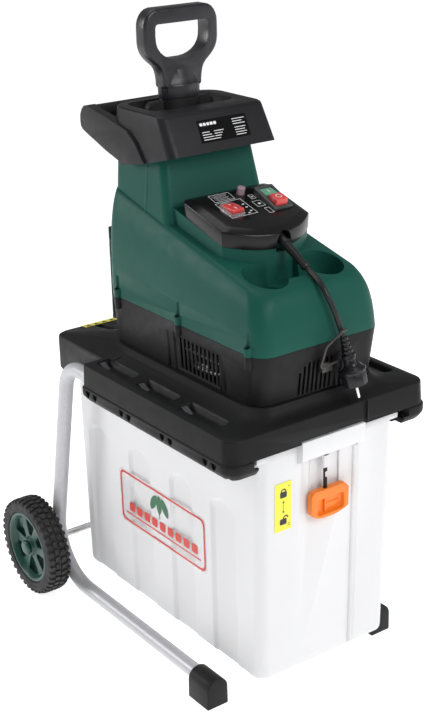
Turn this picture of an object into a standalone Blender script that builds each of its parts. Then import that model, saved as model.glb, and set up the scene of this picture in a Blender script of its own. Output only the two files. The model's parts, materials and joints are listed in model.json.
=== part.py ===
"""Electric garden wood chipper on a tubular frame, with a collection box under the cutter."""
import math

import bmesh
import bpy
from mathutils import Matrix, Vector

for old in list(bpy.data.objects):
    bpy.data.objects.remove(old, do_unlink=True)

# Sizes are in millimetres. X is left to right, Y runs from the front face of the base to the
# back, Z is the height above the floor. MIDDLE_Y centres the footprint on the origin.
MM = 0.001
GAP = 0.3

WHEEL_RADIUS = 89.0
WHEEL_IN = 190.0
WHEEL_OUT = 233.0
WHEEL_MIDDLE = (WHEEL_IN + WHEEL_OUT) / 2
AXLE_Y = 569.7
AXLE_Z = WHEEL_RADIUS
MIDDLE_Y = (AXLE_Y + WHEEL_RADIUS) / 2
AXLE_RADIUS = 6.0
TUBE_RADIUS = 12.5
TUBE_BORE = 10.7
TUBE_X = 172.4
RUNNER_Z = 34.5
ARM_Z = 455.0
FOOT_FRONT = 73.5
FOOT_BACK = 126.5

BASE_HALF = 194.5
BASE_TOP = 505.0
SPLIT_Z = 584.7
CUT_X = 0.0
CUT_Y = 198.0

BOX_FLOOR = 54.0
BOX_RIM = 446.0

PANEL_Y = 162.0
PANEL_Z = 744.0
PANEL_RISE = 0.27
PANEL_TILT = math.atan(PANEL_RISE)

PUSH_X = -3.0
PUSH_Y = 374.0


def make(name, verts, faces):
    data = bpy.data.meshes.new(name)
    data.from_pydata([(x * MM, (y - MIDDLE_Y) * MM, z * MM) for x, y, z in verts], [], faces)
    shape = bmesh.new()
    shape.from_mesh(data)
    bmesh.ops.remove_doubles(shape, verts=shape.verts, dist=1e-6)
    bmesh.ops.recalc_face_normals(shape, faces=shape.faces)
    shape.to_mesh(data)
    shape.free()
    obj = bpy.data.objects.new(name, data)
    bpy.context.scene.collection.objects.link(obj)
    return obj


def loft(name, rings, closed=False):
    count = len(rings[0])
    verts = [point for ring in rings for point in ring]
    faces = []
    last = len(rings) if closed else len(rings) - 1
    for level in range(last):
        a = level * count
        b = ((level + 1) % len(rings)) * count
        for i in range(count):
            j = (i + 1) % count
            faces.append((a + i, a + j, b + j, b + i))
    if not closed:
        faces.append(tuple(range(count - 1, -1, -1)))
        faces.append(tuple(range(len(verts) - count, len(verts))))
    return make(name, verts, faces)


def box(name, x0, x1, y0, y1, z0, z1):
    low = [(x0, y0, z0), (x1, y0, z0), (x1, y1, z0), (x0, y1, z0)]
    high = [(x, y, z1) for x, y, _ in low]
    return loft(name, [low, high])


def prism(name, outline, axis, a, b):
    """An outline pushed along an axis: (y, z) for X, (x, z) for Y and (x, y) for Z."""
    if axis == "X":
        rings = [[(v, p, q) for p, q in outline] for v in (a, b)]
    elif axis == "Y":
        rings = [[(p, v, q) for p, q in outline] for v in (a, b)]
    else:
        rings = [[(p, q, v) for p, q in outline] for v in (a, b)]
    return loft(name, rings)


def circle(cx, cy, rx, ry, count, turn=0.0):
    steps = [turn + 2 * math.pi * i / count for i in range(count)]
    return [(cx + rx * math.cos(t), cy + ry * math.sin(t)) for t in steps]


def cylinder(name, axis, cx, cy, radius, a, b, count=24):
    return prism(name, circle(cx, cy, radius, radius, count), axis, a, b)


def rounded(x0, x1, y0, y1, front, back, steps=5):
    """A rectangle with one corner radius at the front and one at the back."""
    points = []
    corners = [
        (x1 - front, y0 + front, front, -90),
        (x1 - back, y1 - back, back, 0),
        (x0 + back, y1 - back, back, 90),
        (x0 + front, y0 + front, front, 180),
    ]
    for cx, cy, r, start in corners:
        for i in range(steps + 1):
            t = math.radians(start + 90 * i / steps)
            points.append((cx + r * math.cos(t), cy + r * math.sin(t)))
    return points


def level(outline, z):
    return [(x, y, z) for x, y in outline]


def turned(name, profile, cx, cy, axis, count, closed=False, turn=0.0):
    """A profile of (distance along the axis, radius) turned about that axis."""
    rings = []
    for i in range(count):
        t = turn + 2 * math.pi * i / count
        ring = []
        for along, radius in profile:
            p = cx + radius * math.cos(t)
            q = cy + radius * math.sin(t)
            ring.append((along, p, q) if axis == "X" else (p, q, along))
        rings.append(ring)
    verts = [point for ring in rings for point in ring]
    faces = []
    size = len(profile)
    edges = size if closed else size - 1
    for i in range(count):
        j = (i + 1) % count
        for k in range(edges):
            m = (k + 1) % size
            faces.append((i * size + k, j * size + k, j * size + m, i * size + m))
    if not closed:
        faces.append(tuple(i * size for i in range(count)))
        faces.append(tuple(i * size + size - 1 for i in range(count)))
    return make(name, verts, faces)


def unit(v):
    size = math.sqrt(sum(c * c for c in v))
    return tuple(c / size for c in v)


def cross(a, b):
    return (
        a[1] * b[2] - a[2] * b[1],
        a[2] * b[0] - a[0] * b[2],
        a[0] * b[1] - a[1] * b[0],
    )


def frames(path, side):
    """For each point of a path: the point and two directions across the path."""
    found = []
    for i, point in enumerate(path):
        a = path[max(0, i - 1)]
        b = path[min(len(path) - 1, i + 1)]
        along = unit(tuple(q - p for p, q in zip(a, b)))
        first = unit(cross(along, side))
        second = unit(cross(along, first))
        found.append((point, first, second))
    return found


def swept(name, path, radii, count, side=(1.0, 0.0, 0.0), bore=None, squash=1.0):
    rings = []
    walls = [radii] if bore is None else [radii, bore]
    for wall in walls:
        part = []
        for k, (point, first, second) in enumerate(frames(path, side)):
            r = wall[k] if isinstance(wall, (list, tuple)) else wall
            ring = []
            for i in range(count):
                t = 2 * math.pi * i / count
                c = r * math.cos(t)
                s = r * squash * math.sin(t)
                ring.append(tuple(p + c * f + s * g for p, f, g in zip(point, first, second)))
            part.append(ring)
        rings.append(part)
    if bore is None:
        return loft(name, rings[0])
    return loft(name, rings[0] + rings[1][::-1], closed=True)


def bake(obj):
    graph = bpy.context.evaluated_depsgraph_get()
    data = bpy.data.meshes.new_from_object(obj.evaluated_get(graph))
    obj.modifiers.clear()
    used = obj.data
    obj.data = data
    bpy.data.meshes.remove(used)


def combine(obj, tools, operation):
    for tool in tools:
        change = obj.modifiers.new(operation.lower(), "BOOLEAN")
        change.operation = operation
        change.solver = "EXACT"
        change.object = tool
        tool.hide_render = True
        tool.display_type = "WIRE"
    bake(obj)
    for tool in tools:
        bpy.data.objects.remove(tool, do_unlink=True)
    return obj


def cut(obj, *tools):
    return combine(obj, list(tools), "DIFFERENCE")


def join(obj, *tools):
    return combine(obj, list(tools), "UNION")


def bevel(obj, width, segments=2, angle=50.0):
    change = obj.modifiers.new("bevel", "BEVEL")
    change.width = width * MM
    change.segments = segments
    change.limit_method = "ANGLE"
    change.angle_limit = math.radians(angle)
    change.use_clamp_overlap = True
    bake(obj)
    return obj


def mirrored(obj, name):
    data = obj.data.copy()
    data.name = name
    for vertex in data.vertices:
        vertex.co.x = -vertex.co.x
    data.flip_normals()
    copy = bpy.data.objects.new(name, data)
    bpy.context.scene.collection.objects.link(copy)
    return copy


def on_panel(u, v, w):
    """A point of the sloping control panel: across, up the slope from its middle line, out of it."""
    y = PANEL_Y + v * math.cos(PANEL_TILT) - w * math.sin(PANEL_TILT)
    z = PANEL_Z + v * math.sin(PANEL_TILT) + w * math.cos(PANEL_TILT)
    return (u, y, z)


def panel_loft(name, layers):
    return loft(name, [[on_panel(u, v, w) for u, v in outline] for outline, w in layers])


def arc(cy, cz, radius, start, end, steps):
    points = []
    for i in range(steps + 1):
        t = math.radians(start + (end - start) * i / steps)
        points.append((cy + radius * math.cos(t), cz + radius * math.sin(t)))
    return points


# ---------------------------------------------------------------- base chassis
def base_ring(z, half, front, back, radius=24.0):
    return level(rounded(-half, half, front, back, radius, 6.0, 3), z)


base = loft(
    "base_chassis",
    [
        base_ring(423.0, 186.0, 8.5, 397.0, 16.0),
        base_ring(432.0, 193.5, 1.0, 402.0),
        base_ring(436.0, BASE_HALF, 0.0, 403.0),
        base_ring(446.0, BASE_HALF, 0.0, 403.0),
        base_ring(448.2, 192.2, 2.3, 402.0),
        base_ring(483.5, 190.5, 4.0, 401.0),
        base_ring(485.6, 187.6, 7.0, 399.0),
        base_ring(487.5, 176.0, 15.0, 396.0, 28.0),
        base_ring(490.0, 148.0, 22.0, 392.0, 34.0),
        base_ring(495.0, 131.0, 28.0, 390.0, 38.0),
        base_ring(BASE_TOP, 121.5, 33.0, 388.0, 40.0),
    ],
)
rear = loft(
    "rear_block",
    [
        level(rounded(-155.0, 155.0, 370.0, 543.0, 6.0, 14.0, 2), 427.0),
        level(rounded(-157.0, 157.0, 370.0, 545.0, 6.0, 14.0, 2), 432.0),
        level(rounded(-156.0, 156.0, 370.0, 545.0, 6.0, 14.0, 2), 486.0),
        level(rounded(-151.0, 151.0, 370.0, 541.0, 6.0, 14.0, 2), 491.0),
        level(rounded(-128.0, 128.0, 370.0, 492.0, 6.0, 20.0, 2), 497.5),
        level(rounded(-119.0, 119.0, 370.0, 450.0, 6.0, 24.0, 2), BASE_TOP),
    ],
)
join(base, rear)
base_cutters = [
    box("front_gap", -142.5, 142.5, -10.0, 22.0, 400.0, 448.0),
    box("latch_step", -61.5, 61.5, -10.0, 22.0, 440.0, 453.0),
    box("skirt_notch", -151.0, 151.0, -10.0, 22.0, 436.0, 448.0),
    box("box_way", -135.0, 135.0, 21.0, 532.0, 400.0, 432.0),
    box("flange_way", -147.0, 147.0, 5.0, 532.0, 431.6, 448.0),
    box("chamber", -128.0, 128.0, 5.0, 526.0, 447.0, 478.0),
    box("chamber_top", -108.0, 108.0, 46.0, 430.0, 477.0, 499.0),
    prism("outlet", circle(CUT_X, CUT_Y, 86.0, 86.0, 24), "Z", 490.0, 520.0),
]
for side in (-1, 1):
    low, high = sorted((side * 152.0, side * 187.0))
    base_cutters.append(box("rail_hollow", low, high, 14.0, 322.0, 400.0, 474.0))
    base_cutters.append(
        cylinder("arm_socket", "Y", side * TUBE_X, ARM_Z, TUBE_RADIUS + GAP, 338.0, 420.0, 16)
    )
    for start, end in ((57.0, 157.0), (179.0, 273.0), (293.0, 386.0)):
        shallow = rounded(side * 162.0 - 14.0, side * 162.0 + 14.0, start, end, 7.0, 7.0, 2)
        deep = rounded(side * 162.0 - 9.0, side * 162.0 + 9.0, start + 8.0, end - 4.0, 5.0, 5.0, 2)
        base_cutters.append(loft("pocket", [level(deep, 478.5), level(shallow, 490.5)]))
    slot = rounded(side * 86.0 - 6.0, side * 86.0 + 6.0, 463.0, 520.0, 3.0, 3.0, 2)
    base_cutters.append(prism("rear_slot", slot, "Z", 488.0, 510.0))
cut(base, *base_cutters)

# ---------------------------------------------------------------- legs, feet and wheels
top_y = 497.0 - (ARM_Z - 385.0) * 0.2117
low_y = 497.0 + (385.0 - RUNNER_Z) * 0.2117
top_fit = 50.0 * math.tan(math.radians(78.0 / 2))
low_fit = 90.0 * math.tan(math.radians(102.0 / 2))
leg_path = [(344.0, ARM_Z)]
leg_path += arc(top_y - top_fit, ARM_Z - 50.0, 50.0, 90.0, 12.0, 4)
leg_path += arc(low_y - low_fit, RUNNER_Z + 90.0, 90.0, 12.0, -90.0, 6)
leg_path += [(97.6, RUNNER_Z)]
leg = swept(
    "leg_tube_right",
    [(TUBE_X, y, z) for y, z in leg_path],
    TUBE_RADIUS,
    12,
    bore=TUBE_BORE,
)
lug_outline = [(543.0, 99.0), (543.0, 78.0)] + arc(AXLE_Y, AXLE_Z, 12.5, -75.0, 75.0, 6)
lug = prism("axle_lug", lug_outline, "X", TUBE_X - 3.0, TUBE_X + 3.0)
cut(
    lug,
    cylinder("axle_hole", "X", AXLE_Y, AXLE_Z, AXLE_RADIUS + GAP, 100.0, 240.0, 16),
    swept("wall_line", [(TUBE_X, y, z) for y, z in leg_path[3:]], TUBE_RADIUS - 0.8, 12),
)
join(leg, lug)
mirrored(leg, "leg_tube_left")

foot_outline = [(TUBE_X - 20.0, 0.0), (TUBE_X + 20.0, 0.0)]
for step in range(10):
    t = math.radians(20 * step)
    foot_outline.append((TUBE_X + 20.0 * math.cos(t), 33.0 + 18.5 * math.sin(t)))
foot = prism("foot_cap_right", foot_outline, "Y", FOOT_FRONT, FOOT_BACK)
bevel(foot, 2.0, 1, 40.0)
cut(foot, cylinder("foot_bore", "Y", TUBE_X, RUNNER_Z, TUBE_RADIUS + GAP, 97.0, 140.0, 24))
mirrored(foot, "foot_cap_left")

cylinder("axle", "X", AXLE_Y, AXLE_Z, AXLE_RADIUS, -232.6, 232.6, 16)

mid = (WHEEL_IN + WHEEL_OUT) / 2
tyre_profile = [
    (mid - 18.5, 65.4),
    (mid - 21.5, 71.0),
    (mid - 21.5, 79.0),
    (mid - 17.0, 86.0),
    (mid - 8.0, WHEEL_RADIUS),
    (mid + 8.0, WHEEL_RADIUS),
    (mid + 17.0, 86.0),
    (mid + 21.5, 79.0),
    (mid + 21.5, 71.0),
    (mid + 18.5, 65.4),
]
tyre = turned("wheel_tyre_right", tyre_profile, AXLE_Y, AXLE_Z, "X", 32, closed=True)
mirrored(tyre, "wheel_tyre_left")

hub_profile = [
    (WHEEL_IN + 1.5, 12.0),
    (WHEEL_IN + 1.5, 6.3),
    (WHEEL_OUT - 3.0, 6.3),
    (WHEEL_OUT - 3.0, 15.0),
    (WHEEL_OUT - 8.0, 19.0),
    (WHEEL_OUT - 12.0, 52.0),
    (WHEEL_OUT - 3.0, 59.0),
    (WHEEL_OUT - 4.0, 65.0),
    (WHEEL_IN + 4.0, 65.0),
    (WHEEL_IN + 4.0, 61.5),
    (WHEEL_OUT - 17.0, 58.0),
    (WHEEL_OUT - 17.0, 20.0),
    (WHEEL_IN + 6.0, 14.0),
]
hub = turned("wheel_hub_right", hub_profile, AXLE_Y, AXLE_Z, "X", 20, closed=True, turn=0.05)
windows = []
for k in range(6):
    t = math.radians(30 + 60 * k)
    c, s = math.cos(t), math.sin(t)
    outline = []
    for p, q in circle(36.0, 0.0, 15.0, 9.5, 8, 0.13):
        wide = q * (0.62 + 0.013 * (p - 21.0))
        outline.append((AXLE_Y + p * c - wide * s, AXLE_Z + p * s + wide * c))
    windows.append(prism("hub_window", outline, "X", WHEEL_OUT - 25.0, WHEEL_OUT + 5.0))
cut(hub, *windows)
mirrored(hub, "wheel_hub_left")

cap_profile = [(WHEEL_OUT - 2.6, 13.5), (WHEEL_OUT + 1.5, 13.0), (WHEEL_OUT + 3.5, 9.0)]
cap = turned("hub_cap_right", cap_profile, AXLE_Y, AXLE_Z, "X", 16)
cut(cap, cylinder("cap_bore", "X", AXLE_Y, AXLE_Z, 7.0, WHEEL_OUT - 5.0, WHEEL_OUT + 0.2, 16))
mirrored(cap, "hub_cap_left")

# ---------------------------------------------------------------- collection box
FLUTES = (108.0, 219.0, 338.0, 464.0)


def box_ring(z, inset=0.0, corner=20.0):
    t = (z - BOX_FLOOR) / (430.0 - BOX_FLOOR)
    half = 129.6 + 3.4 * t - inset
    front = 19.0 - 6.5 * t + inset
    back = 527.0 + 2.5 * t - inset
    return level(rounded(-half, half, front, back, corner - inset * 0.6, corner - inset * 0.6, 3), z)


bin_body = loft(
    "collection_box",
    [box_ring(BOX_FLOOR, 3.5), box_ring(BOX_FLOOR + 4.0, 0.5), box_ring(BOX_FLOOR + 10.0), box_ring(BOX_RIM)],
)
rim = prism("rim", rounded(-139.2, 139.2, 18.0, 530.8, 4.0, 12.0, 3), "Z", 432.2, BOX_RIM)
ledge_outline = [(0.5, 450.4), (14.0, 450.4), (14.0, 412.0), (6.0, 417.0), (0.5, 421.0)]
ledge = prism("ledge", ledge_outline, "X", -61.0, 61.0)
join(bin_body, rim, ledge, box("sheath", -17.4, -5.6, 3.4, 16.0, 396.6, 416.0))
bin_tools = [loft("bin_inside", [box_ring(60.0, 8.0), box_ring(470.0, 8.0)])]
for middle in FLUTES:
    outline = [(middle - 26.0, 40.0), (middle + 26.0, 40.0)]
    for step in range(7):
        t = math.radians(30 * step)
        outline.append((middle + 25.0 * math.cos(t), 310.0 + 22.0 * math.sin(t)))
    for side in (-1, 1):
        near = [(side * (124.6 + 3.4 * (z - 54.0) / 376.0), y, z) for y, z in outline]
        wide = [(middle + (y - middle) * 1.3, z + (8.0 if z > 60 else 0.0)) for y, z in outline]
        far = [(side * (131.5 + 3.4 * (z - 54.0) / 376.0), y, z) for y, z in wide]
        bin_tools.append(loft("flute", [near, far] if side > 0 else [far, near]))
band = [(-54.0, 40.0), (54.0, 40.0), (54.0, 418.0), (-54.0, 418.0)]
deep = [(x, 20.8 - 6.5 * (z - 54.0) / 376.0, z) for x, z in band]
front = [(x * 1.04, 10.0, z) for x, z in band]
bin_tools.append(loft("front_band", [deep, front]))
channel = [(-37.0, 330.0), (23.0, 330.0), (23.0, 414.0), (-37.0, 414.0)]
deep = [(x, 23.8 - 6.5 * (z - 54.0) / 376.0, z) for x, z in channel]
front = [(x * 1.08, 9.0, z) for x, z in channel]
bin_tools.append(loft("latch_channel", [deep, front]))
bin_tools.append(box("tongue_way", -15.5, -7.5, 5.0, 10.6, 390.0, 460.0))
cut(bin_body, *bin_tools)

slider_outline = [
    (-42.5, 355.0), (-36.5, 361.5), (22.5, 361.5), (30.5, 353.5),
    (30.5, 321.5), (19.0, 317.0), (5.0, 314.2), (-19.0, 314.2), (-34.0, 318.0), (-42.5, 326.0),
]
slider = prism("latch_slider", slider_outline, "Y", 1.5, 12.4)
bevel(slider, 2.0, 1, 60.0)
grip = [(-30.0, 321.0), (21.0, 321.0), (22.5, 346.0), (-31.5, 346.0)]
grip_deep = [(x * 0.9 - 0.5, 9.5, z if z > 330 else z + 2.0) for x, z in grip]
grip_front = [(x, -2.0, z) for x, z in grip]
cut(slider, loft("grip", [grip_deep, grip_front]), box("tongue_seat", -14.8, -8.2, 5.7, 10.0, 349.5, 370.0))
box("latch_tongue", -14.3, -8.7, 6.2, 9.6, 350.0, 428.0)


def front_plate(name, x0, x1, z0, z1, out=0.3, thick=0.4):
    rings = []
    for d in (out, out + thick):
        ring = []
        for x, z in ((x0, z0), (x1, z0), (x1, z1), (x0, z1)):
            ring.append((x, 19.0 - 6.5 * (z - 54.0) / 376.0 - d, z))
        rings.append(ring)
    return loft(name, rings)


front_plate("latch_label", -104.0, -72.5, 311.0, 391.0)
side_outline = rounded(152.0, 400.0, 186.0, 286.0, 8.0, 8.0, 3)
loft(
    "side_label",
    [[(-(129.6 + 3.4 * (z - 54.0) / 376.0) - d, y, z) for y, z in side_outline] for d in (0.3, 0.7)],
)

# ---------------------------------------------------------------- housing
SCREW_Y = {-1: (398.0, 229.0, 55.0), 1: (398.0, 229.0, 61.0)}


def shell_ring(z, half, front, back, inset=0.0, r1=36.0, r2=26.0):
    return level(
        rounded(-half + inset, half - inset, front + inset, back - inset, r1 - inset, r2 - inset, 4), z
    )


lower = loft("lower_housing", [shell_ring(505.4, 114.0, 38.5, 426.0), shell_ring(588.0, 118.2, 27.6, 432.2)])
lower_extra = []
for side in (-1, 1):
    for y in SCREW_Y[side]:
        lower_extra.append(cylinder("boss", "Z", side * 117.5, y, 6.5, 566.0, 590.0, 10))
    for y in (262.0, 124.0):
        lower_extra.append(cylinder("rib", "Z", side * 113.5, y, 4.5, 512.0, 566.0, 10))
for x in (31.0, 41.0):
    lower_extra.append(cylinder("rib", "Z", x, 35.5, 3.0, 508.0, 560.0, 8))
join(lower, *lower_extra)
lower_tools = [
    loft("inside", [shell_ring(500.0, 114.0, 38.5, 426.0, 4.0), shell_ring(595.0, 118.0, 28.0, 432.0, 4.0)]),
    box("split", -200.0, 200.0, -20.0, 500.0, 584.4, 620.0),
]
for side in (-1, 1):
    a, b = sorted((side * 104.0, side * 124.0))
    for k in range(10):
        y = 134.0 + 10.6 * k
        lower_tools.append(box("vent", a, b, y - 2.6, y + 2.6, 513.0, 563.0))
    for y in SCREW_Y[side]:
        lower_tools.append(cylinder("screw_hole", "Z", side * 119.0, y, 2.4, 570.0, 600.0, 8))
for k in range(8):
    x = -39.0 + 8.3 * k
    high = (546.0, 555.0, 560.0)[min(k, 2)]
    lower_tools.append(box("front_vent", x - 2.1, x + 2.1, 24.0, 48.0, 508.0, high))
cut(lower, *lower_tools)


def ridge_z(y):
    return 670.0 + 0.235 * (y - 50.0)


def cover_ring(t, half, front, inset=0.0, drop=0.0, back=None):
    """One ring of the motor cover: t runs from the split line, 0, to the sloping top, 1."""
    end = 432.0 + 6.0 * t if back is None else back
    outline = rounded(-half + inset, half - inset, front + inset, end - inset, 36.0 - inset, 26.0 - inset, 4)
    return [(x, y, 584.9 + t * (ridge_z(y) - drop - 584.9)) for x, y in outline]


upper = loft(
    "upper_housing",
    [
        cover_ring(-0.08, 118.4, 27.2),
        cover_ring(0.3, 116.6, 31.0),
        cover_ring(0.55, 114.0, 35.0),
        cover_ring(0.75, 109.5, 39.5),
        cover_ring(0.9, 103.0, 46.0),
        cover_ring(0.975, 97.0, 54.0),
        cover_ring(1.0, 92.0, 62.0),
    ],
)
upper_tools = []
for side in (-1, 1):
    outline = circle(side * 53.0, 97.0, 33.0, 37.0, 18)
    floor = circle(side * 53.0, 98.0, 28.0, 31.0, 18)
    upper_tools.append(loft("cup", [level(floor, 642.0), level(outline, 668.0), level(outline, 720.0)]))
upper_tools.append(
    loft(
        "trough",
        [
            level(rounded(-30.0, 30.0, 84.0, 150.0, 4.0, 4.0, 2), 655.0),
            level(rounded(-30.0, 30.0, 76.0, 150.0, 4.0, 4.0, 2), 720.0),
        ],
    )
)
cut(upper, *upper_tools)


def bow(half, inset, back, steps=8):
    """The outline of the control box: bowed front, straight sides, rounded back corners."""
    points = []
    for i in range(steps + 1):
        x = half * (2 * i / steps - 1)
        points.append((x, 127.0 + 34.0 * (x / 82.0) ** 2 + inset))
    for cx, start in ((half - 12.0, 0), (12.0 - half, 90)):
        for i in range(4):
            t = math.radians(start + 30 * i)
            points.append((cx + 12.0 * math.cos(t), back - 12.0 + 12.0 * math.sin(t)))
    return points


def slope(outline, lift):
    return [(x, y, PANEL_Z + PANEL_RISE * (y - PANEL_Y) + lift) for x, y in outline]


tower = loft(
    "tower",
    [
        level(rounded(-97.5, 97.5, 262.0, 436.0, 14.0, 26.0, 3), 660.0),
        level(rounded(-96.5, 96.5, 280.0, 440.0, 14.0, 26.0, 3), 725.0),
        level(rounded(-87.0, 87.0, 304.0, 443.0, 14.0, 26.0, 3), 829.0),
    ],
)
pedestal_outline = bow(81.0, 2.5, 300.0)
pedestal = loft("pedestal", [level(pedestal_outline, 640.0), slope(pedestal_outline, -28.3)])
boss_list = []
for side in (-1, 1):
    for y in SCREW_Y[side]:
        ring = circle(side * 117.5, y, 6.5, 6.5, 10)
        slanted = [(x, q, 603.0 - 0.5 * (x * side - 111.0)) for x, q in ring]
        boss_list.append(loft("boss", [level(ring, 581.0), slanted]))
join(upper, tower, pedestal, *boss_list)

motor_hollow = loft(
    "motor_hollow",
    [
        cover_ring(-0.15, 118.0, 28.0, 4.0, 4.0, 270.0),
        cover_ring(0.5, 114.5, 34.0, 4.0, 5.0, 270.0),
        cover_ring(0.51, 60.0, 80.0, 4.0, 0.0, 270.0),
    ],
)
box_hollow = loft(
    "box_hollow",
    [
        level(rounded(-70.0, 70.0, 142.0, 256.0, 20.0, 8.0, 3), 610.0),
        level(rounded(-70.0, 70.0, 172.0, 256.0, 30.0, 8.0, 3), 790.0),
    ],
)
chute = loft(
    "chute",
    [
        level(rounded(-92.0, 92.0, 276.0, 424.0, 8.0, 18.0, 2), 565.0),
        level(rounded(-90.0, 90.0, 277.0, 428.0, 8.0, 18.0, 2), 690.0),
        level(rounded(-88.0, 88.0, 288.0, 434.0, 10.0, 20.0, 2), 745.0),
        level(rounded(-82.6, 82.6, 308.6, 438.6, 10.0, 22.0, 2), 850.0),
    ],
)
holes = [motor_hollow, box_hollow, chute, box("split", -200.0, 200.0, -20.0, 500.0, 560.0, 584.9)]
for side in (-1, 1):
    for y in SCREW_Y[side]:
        holes.append(cylinder("screw_way", "Z", side * 119.0, y, 2.9, 580.0, 596.0, 8))
        holes.append(cylinder("screw_head_way", "Z", side * 119.0, y, 4.6, 593.5, 620.0, 10))
notch = [(-6.0, 700.0), (22.0, 700.0), (22.0, 722.0), (17.0, 733.0), (-1.0, 733.0), (-6.0, 722.0)]
holes.append(prism("gland_notch", notch, "Y", 100.0, 152.0))
cut(upper, *holes)

for side, word in ((-1, "left"), (1, "right")):
    for number, y in enumerate(SCREW_Y[side], 1):
        profile = [(572.0, 1.9), (594.2, 1.9), (594.2, 4.1), (597.2, 4.1)]
        turned(f"housing_screw_{word}_{number}", profile, side * 119.0, y, "Z", 8)

# ---------------------------------------------------------------- hopper collar and carry handle
collar = loft(
    "hopper_collar",
    [
        level(rounded(-103.0, 103.0, 239.0, 438.0, 16.0, 30.0, 5), 800.0),
        level(rounded(-98.6, 98.6, 286.0, 430.0, 14.0, 34.0, 5), 884.0),
        level(rounded(-96.5, 96.5, 291.0, 428.0, 14.0, 34.0, 5), 889.0),
    ],
)
arms = []
arm_outline = [
    (322.0, 812.0), (380.0, 801.0), (431.0, 815.0), (498.0, 839.0), (505.0, 852.0),
    (499.0, 872.0), (484.0, 880.0), (462.0, 875.0), (425.0, 869.0), (372.0, 858.0),
    (348.0, 842.0), (332.0, 822.0),
]
for side in (-1, 1):
    a, b = sorted((side * 90.0, side * 106.5))
    arms.append(prism("arm", arm_outline, "X", a, b))
grip_outline = circle(484.0, 863.0, 16.0, 15.5, 14)
join(collar, *arms, prism("bar", grip_outline, "X", -105.0, 105.0))
skirt = [
    (180.0, 700.0), (180.0, 833.0), (257.0, 832.0), (320.0, 815.0), (380.0, 803.0), (431.0, 817.0),
    (445.0, 821.0), (445.0, 700.0),
]
hollow = loft(
    "under",
    [
        level(rounded(-98.0, 98.0, 233.0, 431.0, 12.0, 26.0, 5), 780.0),
        level(rounded(-94.5, 94.5, 284.0, 425.0, 12.0, 26.0, 5), 868.0),
    ],
)
back_room = box("back_room", -88.6, 88.6, 380.0, 447.0, 770.0, 830.0)
mouth = loft(
    "mouth",
    [
        level(rounded(-72.0, 66.0, 340.0, 408.0, 16.0, 16.0, 4), 860.0),
        level(rounded(-72.0, 66.0, 340.0, 408.0, 16.0, 16.0, 4), 872.0),
        level(rounded(-82.0, 78.0, 328.0, 415.0, 18.0, 18.0, 4), 892.0),
    ],
)
cut(
    collar,
    prism("skirt_cut", skirt, "X", -89.7, 89.7),
    hollow,
    back_room,
    mouth,
)
skirt_low = [(180.0, 780.0), (180.0, 833.0), (257.0, 832.0), (320.0, 815.0), (320.0, 780.0)]
skirt_edge = [
    (310.0, 780.0), (310.0, 817.0), (320.0, 814.9), (380.0, 802.0), (431.0, 816.0), (470.0, 829.3),
    (470.0, 780.0),
]
cut(
    collar,
    prism("skirt_front", skirt_low, "X", -130.0, 130.0),
    prism("skirt_side", skirt_edge, "X", -130.0, 130.0),
)

# ---------------------------------------------------------------- rear plate
plate = box("rear_plate", -101.0, 101.0, 444.4, 446.4, 531.0, 688.0)
bevel(plate, 0.8, 1, 50.0)

# ---------------------------------------------------------------- control box
shell = loft(
    "control_box",
    [
        slope(bow(82.0, 0.0, 262.0), -27.6),
        slope(bow(82.8, -0.8, 262.8), -6.0),
        slope(bow(81.5, 0.6, 261.4), -4.2),
        slope(bow(70.0, 12.0, 250.0), 0.0),
    ],
)
inside = loft("inside", [slope(bow(77.0, 6.0, 257.0), -40.0), slope(bow(76.0, 7.0, 256.0), -8.0)])
arch = [
    (-5.5, 690.0), (21.5, 690.0), (21.5, 718.0), (17.0, 727.0), (8.0, 731.0), (-1.0, 727.0), (-5.5, 718.0),
]


def panel_box(name, u0, u1, v0, v1, w0, w1, shrink=0.0, r=2.0):
    low = rounded(u0, u1, v0, v1, r, r, 2)
    high = rounded(u0 + shrink, u1 - shrink, v0 + shrink, v1 - shrink, r, r, 2)
    return panel_loft(name, [(low, w0), (high, w1)])


SWITCH = (28.0, 63.0, 13.0, 70.0)
RESET = (12.0, 80.0)
ROCKER = (-33.0, 40.0)


def rocker_box(name, half_u, half_v, *depth):
    u, v = ROCKER
    return panel_box(name, u - half_u, u + half_u, v - half_v, v + half_v, *depth)


reset_hole = circle(RESET[0], RESET[1], 7.0, 7.0, 16)
cut(
    shell,
    inside,
    prism("gland_arch", arch, "Y", 100.0, 150.0),
    panel_box("switch_well", SWITCH[0] + 2.0, SWITCH[1] - 2.0, SWITCH[2] + 2.0, SWITCH[3] - 2.0, -20.0, 5.0),
    rocker_box("rocker_well", 13.4, 18.0, -20.0, 5.0),
    panel_loft("reset_well", [(reset_hole, -20.0), (reset_hole, 5.0)]),
)

u0, u1, v0, v1 = SWITCH


def bezel(outline, lower):
    """The switch's raised rim, which is low at the front and high at the back."""
    ring = []
    for u, v in outline:
        ring.append(on_panel(u, v, 4.5 + 8.5 * (v - v0) / (v1 - v0) - lower))
    return ring


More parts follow.
